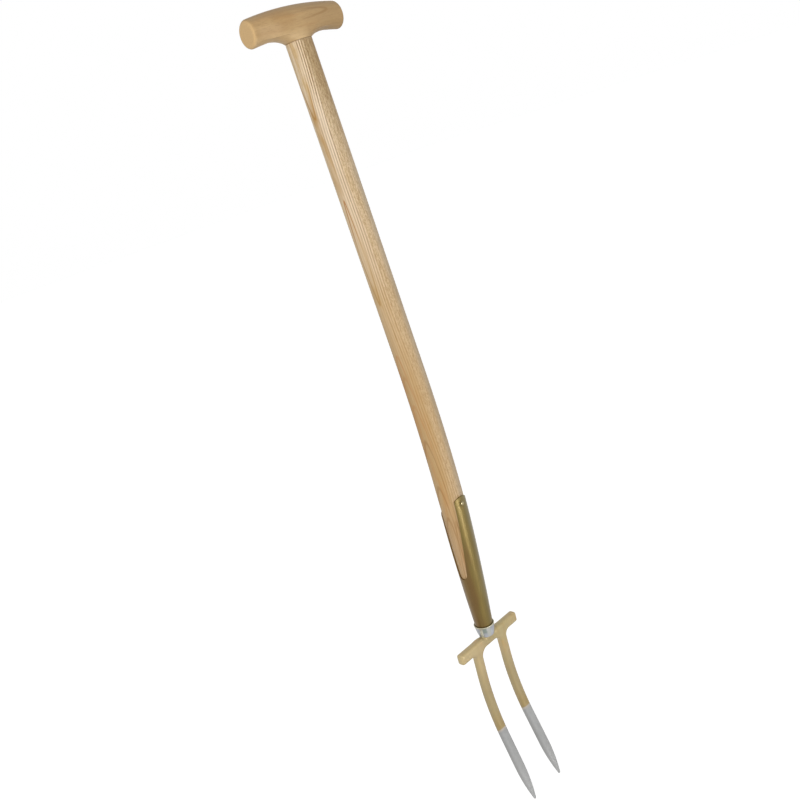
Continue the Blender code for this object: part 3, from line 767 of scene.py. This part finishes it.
def grip_finish():
    """Hardwood with a quiet figure and paler end grain.

    Its right arm is darker with painted shade, and has the loop of one ring. Its left arm has a warm patch
    above a pale one, its top is darker with painted shade, and the underside of its neck is paler on the left
    with painted light.
    """
    finish, _, base, dashes = wood_finish(
        "oiled_hardwood",
        lambda finish: moved(finish.place(), turn=(0, math.radians(90), 0)),
        pith=(0.012, 0.034),
        slant=(math.radians(-2.0), math.radians(0.8)),
        ring_width=0.0062,
        tones=[(199, 166, 118), (191, 157, 110), (168, 134, 90), (188, 147, 98)],
        ring_strength=lambda place: 0.12,
        roughness=0.5,
    )
    place = finish.place()
    right, height = coordinate(place, 0), coordinate(place, 2)
    # Painted shade: darker towards the right arm's end, away from the key lamp
    base = tinted(base, (154, 126, 86), between(right, -0.020, 0.055, 0.0, 0.42))
    warm = product(within(right, -0.036, -0.016, 0.014), within(height, -0.003, 0.006, 0.007))
    base = tinted(base, (172, 134, 84), warm, 0.42)
    pale = product(within(right, -0.062, -0.040, 0.012), within(height, -0.014, -0.006, 0.006))
    base = tinted(base, (214, 182, 140), pale, 0.34)
    leftward = product(right, -1.0)
    loop = cut_rings(height, leftward, -0.0490, 0.0020, 0.0066, 0.040, thickness=0.0009)
    base = tinted(base, (150, 112, 66), loop, 0.42)
    # Painted shade: the top of the grip is darker and greyer
    base = tinted(base, (158, 132, 96), between(height, 0.002, 0.015, 0.0, 0.55))
    # Painted light: the underside of the neck is lighter on its left
    painted_light_left_of_neck = between(right, -0.006, 0.014, 1.0, 0.0)
    base = tinted(base, (214, 184, 138), between(height, -0.010, -0.022, 0.0, 0.64), painted_light_left_of_neck)
    base = tinted(base, (150, 116, 76), between(dashes, 0.50, 0.68, 0.0, 0.22))
    along = calculated("ABSOLUTE", right)
    ends = between(along, GRIP_LENGTH / 2 - 0.0026, GRIP_LENGTH / 2 - 0.0006)
    pores = between(noise(place, (1300, 1300, 1300), detail=1.0), 0.42, 0.66, 0.0, 0.35)
    end_grain = mix(pores, paint(217, 182, 130), paint(188, 149, 102))
    finish.colour(mix(ends, base, end_grain))
    return finish


wooden_grip = new_piece("wooden_grip", grip_mesh, grip_finish())
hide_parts("t_grip")
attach(wooden_grip, "root")

# Strapped socket. Steel sheet rolled to a taper round the shaft's end. Two windows at its sides leave a long
# front strap and a shorter rear one with crowned tops. It is sprayed with satin bronze paint.

STRAP_TOP_WIDTH = 0.0240
STRAP_CROWN = 0.0070
WINDOW_FOOT_RADIUS = 0.0083
WINDOW_BULGE = 0.0017
WINDOW_FOOT = 0.0875
WINDOW_START = SOCKET_END - WINDOW_FOOT - WINDOW_FOOT_RADIUS
DIMPLE_DEPTH = 0.0009
STRAP_LIFT = 0.0004
STRAP_LIFT_RAMP = 0.06
DIMPLE_RADIUS = 0.0055
SHEET_EDGE_ROUNDING = 0.0004


def window_half_width(down):
    """Half a window's width from the side: a half circle at its foot, then spreading with a slight bulge."""
    top = math.sqrt(socket_radius(FRONT_STRAP_TOP) ** 2 - (STRAP_TOP_WIDTH / 2) ** 2)
    share = np.clip((WINDOW_START - down) / (WINDOW_START - FRONT_STRAP_TOP), 0, 1)
    spread = WINDOW_FOOT_RADIUS + (top - WINDOW_FOOT_RADIUS) * share + WINDOW_BULGE * 4 * share * (1 - share)
    below = np.clip(down - WINDOW_START, 0, WINDOW_FOOT_RADIUS)
    return np.where(down < WINDOW_START, spread, np.sqrt(WINDOW_FOOT_RADIUS**2 - below**2))


def strap_sheet(strap_top, facing):
    """Rows of points over one half of the socket and its strap.

    A row spans the angle that the windows leave, and its points crowd towards its ends. Towards the strap's
    top the rows bend down at their ends, as an ellipse. Above its foot the sheet stands a little proud, but
    round the nail it is hammered in by a dimple.
    """
    foot_turn = np.linspace(0, math.pi / 2, 15)
    ease_start = strap_top + 3 * STRAP_CROWN
    rows = np.concatenate(
        [
            np.linspace(SOCKET_END, WINDOW_START + WINDOW_FOOT_RADIUS, 26)[:-1],
            WINDOW_START + WINDOW_FOOT_RADIUS * np.cos(foot_turn),
            np.linspace(WINDOW_START, ease_start, 40)[1:],
            np.linspace(ease_start, strap_top, 24)[1:],
        ]
    )[:, None]
    crowding = 1.35
    across = np.sin(np.linspace(-crowding, crowding, 57)) / math.sin(crowding)
    widest = np.arccos(window_half_width(rows) / socket_radius(rows))
    crowned = np.clip((ease_start - rows) / (ease_start - strap_top), 0, 1)
    reach = np.clip(np.sin(across * widest) / np.sin(widest), -1, 1)
    down = rows + crowned * STRAP_CROWN * (1 - np.sqrt(1 - reach**2))
    angle = across * np.arccos(window_half_width(down) / socket_radius(down))
    radius = socket_radius(down)
    from_nail = np.hypot(radius * np.sin(angle), down - strap_top - NAIL_BELOW_STRAP_TOP)
    radius = radius + STRAP_LIFT * smooth_step((SOCKET_END - down) / STRAP_LIFT_RAMP)
    radius = radius - DIMPLE_DEPTH * np.exp(-((from_nail / DIMPLE_RADIUS) ** 2) * 2)
    return beside_line(facing * radius * np.sin(angle), -facing * radius * np.cos(angle), down)


def socket_sheet_mesh():
    """The two halves, each a grid, welded along their common edges below the windows."""
    points, faces = [], []
    for _, strap_top, facing in STRAPS:
        sheet = strap_sheet(strap_top, facing)
        index = np.arange(sheet.shape[0] * sheet.shape[1]).reshape(sheet.shape[:2]) + sum(map(len, points))
        quads = np.stack([index[:-1, :-1], index[:-1, 1:], index[1:, 1:], index[1:, :-1]], axis=-1)
        points.append(sheet.reshape(-1, 3))
        faces += quads.reshape(-1, 4).tolist()
    points = np.concatenate(points)
    rounded = np.round(points, 6)
    _, kept, place = np.unique(rounded, axis=0, return_index=True, return_inverse=True)
    mesh = bpy.data.meshes.new("steel_socket")
    mesh.from_pydata(points[kept].tolist(), [], place.reshape(-1)[np.array(faces)].tolist())
    return smoothed(mesh)


def bronze_finish():
    """Sprayed bronze: metal flakes under a clear coat, with fine streaks and an orange-peel skin.

    It is browner left of the front and more olive right of it, with a cloudy edge between them, and greyer
    at the far right with a painted reflection.
    """
    finish = Finish("bronze_paint", 0.40, metallic=0.62, specular=0.5, coat=0.30, coat_roughness=0.32)
    place = finish.place("straightened")
    clouds = noise(place, (40, 40, 11), detail=2.0)
    streaks = noise(place, (150, 150, 12), detail=2.0)
    specks = noise(place, (1500, 1500, 1500), detail=1.0)
    cloudy_edge = between(clouds, 0.3, 0.7, -0.006, 0.006)
    across = calculated("ADD", across_and_down(place)[0], cloudy_edge)
    base = mix(between(across, -0.008, 0.002), paint(105, 78, 29), paint(107, 89, 33))
    # Painted reflection: the far right is greyer and paler, as at a grazing angle
    base = tinted(base, (114, 104, 62), between(across, 0.006, 0.014, 0.0, 0.6))
    base = tinted(base, (126, 104, 44), between(streaks, 0.45, 0.75, 0.0, 0.45))
    base = tinted(base, (150, 130, 74), between(specks, 0.6, 0.75, 0.0, 0.25))
    finish.colour(base)
    peel = noise(place, (420, 420, 420), detail=2.0)
    finish.bump(peel, 0.00010, 0.5)
    return finish


socket_mesh = socket_sheet_mesh()
lay_straightened(socket_mesh)
steel_socket = new_piece("steel_socket", socket_mesh, bronze_finish())
wall = steel_socket.modifiers.new("sheet_thickness", "SOLIDIFY")
wall.thickness = SHEET_THICKNESS + CLEARANCE + STRAP_LIFT / 2
wall.offset = -1
wall.use_even_offset = True
edges = steel_socket.modifiers.new("sheet_edges", "BEVEL")
edges.width = SHEET_EDGE_ROUNDING
edges.segments = 2
edges.angle_limit = math.radians(50)
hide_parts("strap_socket")
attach(steel_socket, "root")

# Strap nails. One bright domed steel nail through the top of each strap, driven into the ash behind it.

NAIL_HEAD_DIAMETER = 0.0058
NAIL_HEAD_HEIGHT = 0.0011
NAIL_RIM_HEIGHT = 0.0003
NAIL_POINT_LENGTH = 0.004
NAIL_POINT_TAPER = 12
NAIL_UNDERSIDE_SHARE = 0.96


def nail_profile():
    """A point, a straight shank, a flat under the head, and a dome: an ellipse over a short rim."""
    head, shank = NAIL_HEAD_DIAMETER / 2, NAIL_SHANK_DIAMETER / 2
    turn = np.linspace(0, math.pi / 2, 9)[:-1]
    dome = NAIL_HEAD_HEIGHT - NAIL_RIM_HEIGHT
    return [
        (shank / NAIL_POINT_TAPER, -NAIL_LENGTH),
        (shank, NAIL_POINT_LENGTH - NAIL_LENGTH),
        (shank, 0),
        (head * NAIL_UNDERSIDE_SHARE, 0),
        (head, NAIL_RIM_HEIGHT / 2),
        *zip(head * np.cos(turn), NAIL_RIM_HEIGHT + dome * np.sin(turn)),
    ]


def steel_finish():
    """Bright wire-drawn steel with faint rubbed marks."""
    finish = Finish("bright_steel", 0.25, metallic=1.0)
    rub_marks_and_painted_highlight = noise(finish.place(), (1400, 1400, 2600), detail=3.0)
    finish.colour(mix(rub_marks_and_painted_highlight, paint(136, 124, 92), paint(178, 166, 132)))
    finish.roughness(between(rub_marks_and_painted_highlight, 0.3, 0.7, 0.18, 0.36))
    return finish


bright_steel = steel_finish()
for end, strap_top, facing in STRAPS:
    nail_mesh = skin(f"{end}_nail", nail_rings(nail_profile(), strap_top, facing))
    nail = new_piece(f"{end}_nail", nail_mesh, bright_steel)
    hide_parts(f"{end}_strap_nail")
    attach(nail, "root")

# Collar. A zinc-plated cup pressed from sheet steel. It stands on the crossbar, covers the bolster and takes
# the socket's lower end inside its rolled lip.

COLLAR_WALL = 0.0011
COLLAR_GAP = 0.0008
COLLAR_LIP_RADIUS = 0.0008
BOLSTER_FOOT_DIAMETER = 0.0200
COLLAR_BULGE = 0.0004
COLLAR_SIDES = 128

collar_top = SOCKET_END_DIAMETER / 2 + COLLAR_GAP + COLLAR_WALL
collar_foot = BOLSTER_FOOT_DIAMETER / 2 + COLLAR_GAP + COLLAR_WALL
collar_low = CROSSBAR_TOP - CLEARANCE
collar_high = collar_low - COLLAR_HEIGHT


def collar_profile():
    """A slanted wall with a rounded foot and a rolled lip, as (distance down, radius), up and back down."""
    share = np.linspace(0, 1, 13)[1:-2]
    out = collar_foot + (collar_top - collar_foot) * share + COLLAR_BULGE * np.sin(math.pi * share)
    down = collar_low + (collar_high - collar_low) * share
    turn = np.linspace(-0.9, math.pi + 0.6, 15)
    lip_middle = collar_top - COLLAR_WALL / 2
    lip_down = collar_high + COLLAR_LIP_RADIUS * (1 - np.sin(turn))
    lip_radius = lip_middle + COLLAR_LIP_RADIUS * np.cos(turn)
    return [
        (collar_low, collar_foot - COLLAR_WALL * 0.7),
        (collar_low, collar_foot - COLLAR_WALL * 0.2),
        (collar_low - COLLAR_WALL * 0.3, collar_foot + 0.0001),
        *zip(down, out),
        *zip(lip_down, lip_radius),
        *zip(down[::-1], out[::-1] - COLLAR_WALL),
    ]


def zinc_finish():
    """Zinc plate: bluish grey, clouded by its passivation, with soft draw marks up the wall and a painted
    highlight round its lip.

    At its front is a painted dark greenish reflection, with a painted bright highlight to its left and a paler
    painted reflection to its right.
    """
    finish = Finish("zinc_plate", 0.38, metallic=0.72)
    place = finish.place("straightened")
    across, down = across_and_down(place)
    clouds = noise(place, (90, 90, 50), detail=1.0)
    draws = noise(place, (260, 260, 20), detail=2.0)
    base = mix(between(clouds, 0.35, 0.65), paint(158, 161, 165), paint(172, 173, 183))
    base = tinted(base, (204, 208, 198), between(draws, 0.54, 0.70, 0.0, 0.45))
    base = tinted(base, (158, 163, 158), between(draws, 0.44, 0.32, 0.0, 0.35))
    wavy = calculated("ADD", across, between(clouds, 0.3, 0.7, -0.001, 0.001))
    upper_wall = within(down, collar_high + 0.002, collar_high + 0.008, 0.005)
    # Painted reflection: a dark greenish patch on the upper wall at the front
    painted_dark_reflection = product(within(wavy, -0.0048, 0.0004, 0.0024), upper_wall)
    base = tinted(base, (112, 126, 110), painted_dark_reflection, 0.70)
    # Painted highlight: a bright streak left of the dark patch, stronger lower down
    stronger_below = between(down, collar_high + 0.003, collar_high + 0.009, 0.4, 1.0)
    rub_marks_and_painted_highlight = product(within(across, -0.0085, -0.0063, 0.0017), stronger_below)
    base = tinted(base, (244, 248, 236), rub_marks_and_painted_highlight, 0.80)
    # Painted reflection: a paler band right of the dark patch
    base = tinted(base, (190, 188, 174), within(across, 0.0020, 0.0056, 0.0022), 0.48)
    # Painted highlight: a cream line round the lip
    base = tinted(base, (190, 184, 160), between(down, collar_high + 0.0022, collar_high + 0.0012))
    finish.colour(base)
    finish.roughness(between(clouds, 0.3, 0.7, 0.34, 0.46))
    finish.bump(draws, 0.00008, 0.6)
    return finish


collar_mesh = skin("zinc_collar", turned(collar_profile(), COLLAR_SIDES), closed_loop=True)
lay_straightened(collar_mesh)
zinc_collar = new_piece("zinc_collar", collar_mesh, zinc_finish())
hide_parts("collar")
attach(zinc_collar, "root")

# Forged head. One steel forging: a crossbar whose ends are the treads, two curved tines that flow into it, a
# round bolster under the collar and a tang up into the shaft. Pale gold lacquer, but for matte grey points.

CROSSBAR_LENGTH = 0.131
CROSSBAR_HEIGHT = 0.0160
CROSSBAR_THICKNESS = 0.0140
CROSSBAR_ROUNDING = 0.0052
ARM_END_ROUNDING = 0.0042
TREAD_RISE = 0.0010
TREAD_START = 0.0138
TREAD_RAMP = 0.0030
TINE_SPACING = 0.0572
TINE_SPLAY = 0.0070
TINE_WIDTH = 0.0142
TINE_THICKNESS = 0.0130
TINE_EDGE_ROUNDING = 0.0048
TINE_POINT_ROUNDING = 0.0011
INNER_FILLET = 0.0120
OUTER_FILLET = 0.0082
TIP_LENGTH = 0.058
TIP_END_SHARE = 0.20
BOLSTER_TOP_DIAMETER = 0.0160
BOLSTER_CYLINDER_TOP = 0.006
BOLSTER_ROUNDING = 0.0006
BOLSTER_SINK = 0.002
TANG_POINT_ROUNDING = 0.0012
CORBEL_BLEND = 0.004
BOLSTER_TOP = CROSSBAR_TOP - SHAFT_END - CLEARANCE


def rounded_join(first, second, radius):
    """Two shapes in one, with a quarter circle of that radius in the corner between them."""
    near = np.hypot(np.maximum(radius - first, 0), np.maximum(radius - second, 0))
    return np.maximum(radius, np.minimum(first, second)) - near


def taper_of_tip(rest):
    """A tine's width as a share of its full width, at a length above its point: a pointed arch."""
    share = np.clip(rest / TIP_LENGTH, 0, 1)
    return TIP_END_SHARE + (1 - TIP_END_SHARE) * (1 - (1 - share) ** 2)


def head_field(x, back, up):
    """Distance from the head's surface, with the centre line straight and up from the grip's middle.

    Crossbar and tines are one flat outline with round fillets, given thickness with rounded edges. Bolster
    and tang are turned about the centre line and blended into the crossbar.
    """
    drop = -up - CROSSBAR_TOP
    beside = np.abs(x)
    half_length, half_height = CROSSBAR_LENGTH / 2, CROSSBAR_HEIGHT / 2
    rise = TREAD_RISE * smooth_step((beside - TREAD_START) / TREAD_RAMP + 0.5)
    across_bar = np.abs(drop - half_height + rise / 2) - half_height - rise / 2
    bar = rounded_overlap(beside - half_length, across_bar, ARM_END_ROUNDING)
    taper = taper_of_tip(TINE_LENGTH - drop)
    tine_middle = (TINE_SPACING + TINE_SPLAY * drop / TINE_LENGTH) / 2
    tine = rounded_overlap(
        np.abs(beside - tine_middle) - TINE_WIDTH / 2 * taper,
        np.maximum(drop - TINE_LENGTH, half_height - drop),
        TINE_POINT_ROUNDING,
    )
    side = smooth_step((beside - tine_middle) / TINE_WIDTH + 0.5)
    fillet = INNER_FILLET + (OUTER_FILLET - INNER_FILLET) * side
    outline = rounded_join(bar, tine, fillet)

    below = smooth_step((drop - CROSSBAR_HEIGHT / 2) / CROSSBAR_HEIGHT)
    half_thickness = (CROSSBAR_THICKNESS + (TINE_THICKNESS - CROSSBAR_THICKNESS) * below) / 2 * taper
    rounding = (CROSSBAR_ROUNDING + (TINE_EDGE_ROUNDING - CROSSBAR_ROUNDING) * below) * taper
    flat = rounded_overlap(outline, np.abs(back) - half_thickness, rounding)

    height = -drop
    from_axis = np.hypot(x, back)
    foot, top = BOLSTER_FOOT_DIAMETER / 2, BOLSTER_TOP_DIAMETER / 2
    lift = np.clip((height - BOLSTER_CYLINDER_TOP) / (BOLSTER_TOP - BOLSTER_CYLINDER_TOP), 0, 1)
    bolster = rounded_overlap(
        from_axis - foot - (top - foot) * lift,
        np.maximum(height - BOLSTER_TOP, -BOLSTER_SINK - height),
        BOLSTER_ROUNDING,
    )
    root, point = TANG_ROOT_DIAMETER / 2, TANG_POINT_DIAMETER / 2
    up_tang = np.clip((height - BOLSTER_TOP) / TANG_LENGTH, 0, 1)
    tang = rounded_overlap(
        from_axis - root - (point - root) * up_tang,
        np.maximum(height - BOLSTER_TOP - TANG_LENGTH, -height),
        TANG_POINT_ROUNDING,
    )
    return blended(flat, np.minimum(bolster, tang), CORBEL_BLEND)


def head_bend(points):
    return beside_line(points[:, 0], points[:, 1], -points[:, 2])


head_reach = np.array([CROSSBAR_LENGTH / 2 + ROOM_ALONG, CROSSBAR_THICKNESS / 2 + ROOM_ACROSS])
head_low = (*-head_reach, -CROSSBAR_TOP - TINE_LENGTH - ROOM_ALONG)
head_high = (*head_reach, -CROSSBAR_TOP + BOLSTER_TOP + TANG_LENGTH + ROOM_ALONG)
head_mesh = zero_surface("forged_head", "fork_head", head_field, head_low, head_high, head_bend)
lay_straightened(head_mesh)

LACQUER_LINE = 0.1510
LACQUER_LINE_WIDTH = 0.0016
LACQUER_SLANT = 0.28


def lacquer_finish():
    """Pale gold lacquer down to a line that drops to the back of each tine, and matte grey below it.

    The lacquer is paler on the left arm, duller at the middle of the crossbar and deeper on the tines. Low on
    the tines, where they bend forward and face down, painted shade makes it darker. The grey is paler towards
    the points.
    """
    finish = Finish("gold_lacquer_and_grey", 0.42, metallic=0.1, specular=0.45, coat=0.15, coat_roughness=0.3)
    place = finish.place("straightened")
    clouds = noise(place, (34, 34, 16), detail=3.0)
    flow = noise(place, (90, 90, 26), detail=2.0)
    grain = noise(place, (900, 900, 900), detail=2.0)
    right, back, down = (coordinate(place, axis) for axis in range(3))
    drop = calculated("SUBTRACT", down, CROSSBAR_TOP)
    line = calculated("SUBTRACT", drop, product(back, LACQUER_SLANT))
    line = calculated("ADD", line, between(flow, 0.3, 0.7, -0.0004, 0.0004))

    gold = mix(between(clouds, 0.36, 0.64), paint(184, 166, 118), paint(190, 167, 122))
    gold = tinted(gold, (178, 150, 96), between(flow, 0.52, 0.72, 0.0, 0.45))
    warm = between(noise(place, (60, 60, 60), detail=1.0), 0.60, 0.72, 0.0, 0.4)
    gold = tinted(gold, (206, 158, 100), warm)
    left_arm = product(between(right, -0.018, -0.034), between(drop, 0.018, 0.010))
    gold = tinted(gold, (204, 184, 136), left_arm, 0.40)
    middle = product(within(right, -0.010, 0.004, 0.012), between(drop, 0.022, 0.010))
    gold = tinted(gold, (160, 146, 98), middle, 0.40)
    gold = tinted(gold, (164, 145, 103), between(drop, 0.020, 0.095, 0.0, 0.85))
    # Painted shade: darker low on the tines, where they bend forward and face down
    painted_shade_low_on_tines = between(drop, LACQUER_LINE - 0.040, LACQUER_LINE - 0.004, 0.0, 0.7)
    gold = tinted(gold, (158, 134, 82), painted_shade_low_on_tines)

    grey = mix(between(clouds, 0.35, 0.65), paint(162, 162, 161), paint(171, 171, 170))
    grey = tinted(grey, (182, 182, 181), between(drop, 0.200, 0.262, 0.0, 0.8))
    pale = between(line, LACQUER_LINE + 0.0045, LACQUER_LINE + 0.0020, 0.0, 0.75)
    grey = tinted(grey, (192, 181, 170), pale)
    line_ends = (LACQUER_LINE - LACQUER_LINE_WIDTH / 2, LACQUER_LINE + LACQUER_LINE_WIDTH / 2)
    finish.colour(mix(between(line, *line_ends), gold, grey))
    finish.roughness(between(line, *line_ends, 0.42, 0.80))
    finish.bump(calculated("ADD", product(flow, 3.0), grain), 0.00010, 0.5)
    return finish


forged_head = new_piece("forged_head", head_mesh, lacquer_finish())
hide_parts("fork_head")
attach(forged_head, "root")

# Studio. A white floor just under the points of the tines, which keeps their soft shadow, an even white
# surround, a large soft lamp in front to the left, a weaker one to the right, and the camera.

FLOOR_HALF = 40.0
FLOOR_GLOW = 0.78
FLOOR_GAP = 0.0005
floor_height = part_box("fork_head")[0].z - FLOOR_GAP


def seen_rays(tree):
    """1 for rays that show a thing straight, mirrored or through glass, and 0 for rays that light others."""
    rays = tree.nodes.new("ShaderNodeLightPath").outputs
    seen = calculated("ADD", rays["Is Camera Ray"], rays["Is Glossy Ray"])
    return calculated("MINIMUM", calculated("ADD", seen, rays["Is Transmission Ray"]), 1.0)


floor_mesh = bpy.data.meshes.new("studio_floor")
corners = [(x * FLOOR_HALF, y * FLOOR_HALF, floor_height) for x, y in [(-1, -1), (1, -1), (1, 1), (-1, 1)]]
floor_mesh.from_pydata(corners, [], [(0, 1, 2, 3)])
floor_paint = Finish("studio_white", 0.9, specular=0.1)
floor_paint.shader.inputs["Base Color"].default_value = paint(188, 188, 188)
floor_paint.shader.inputs["Emission Color"].default_value = (1, 1, 1, 1)
floor_paint.link(product(seen_rays(floor_paint.tree), FLOOR_GLOW), "Emission Strength")
floor = new_piece("studio_floor", floor_mesh, floor_paint)

SURROUND_LIGHT = 0.46

world = bpy.data.worlds.new("studio")
bpy.context.scene.world = world
world.use_nodes = True
surround = world.node_tree
light = {"Value": seen_rays(surround), "To Min": SURROUND_LIGHT, "To Max": 1.0}
background = surround.nodes["Background"].inputs
background["Color"].default_value = (1, 1, 1, 1)
surround.links.new(add_node(surround, "ShaderNodeMapRange", light), background["Strength"])

lamps_aim = Vector((0.0, 0.02, -0.60))


def soft_lamp(name, place, width, height, watts, shines=True, fills=True):
    """An upright lamp turned to the fork. It is mirrored in the pieces, fills them with light, or both."""
    lamp = bpy.data.lights.new(name, "AREA")
    lamp.shape = "RECTANGLE"
    lamp.size = width
    lamp.size_y = height
    lamp.energy = watts
    holder = bpy.data.objects.new(name, lamp)
    holder.location = place
    holder.rotation_mode = "QUATERNION"
    holder.rotation_quaternion = (lamps_aim - holder.location).to_track_quat("-Z", "Y")
    holder.visible_glossy = shines
    holder.visible_diffuse = fills
    bpy.context.scene.collection.objects.link(holder)


soft_lamp("key_lamp", Vector((-2.03, -1.58, -0.35)), 1.3, 1.7, 37, shines=False)
soft_lamp("side_lamp", Vector((1.7, -1.6, -0.3)), 1.2, 1.6, 7, shines=False)
soft_lamp("front_lamp", Vector((-0.15, -2.2, -0.5)), 0.35, 1.8, 7)
soft_lamp("strip_lamp", Vector((-0.01, -0.80, -1.02)), 0.12, 0.34, 3.0, fills=False)

CAMERA_PLACE = Vector((-0.91463, -1.06975, -0.18215))
CAMERA_AIM = Vector((0.0, 0.04556, -0.53101))
CAMERA_ROLL = math.radians(-19.215)
CAMERA_LENS = 46.306

lens = bpy.data.cameras.new("camera")
lens.lens = CAMERA_LENS
camera = bpy.data.objects.new("camera", lens)
camera.location = CAMERA_PLACE
camera.rotation_mode = "QUATERNION"
level_aim = (CAMERA_AIM - CAMERA_PLACE).to_track_quat("-Z", "Y")
camera.rotation_quaternion = level_aim @ Quaternion((0, 0, 1), CAMERA_ROLL)
bpy.context.scene.collection.objects.link(camera)
bpy.context.scene.camera = camera
bpy.context.scene.view_settings.view_transform = "Standard"
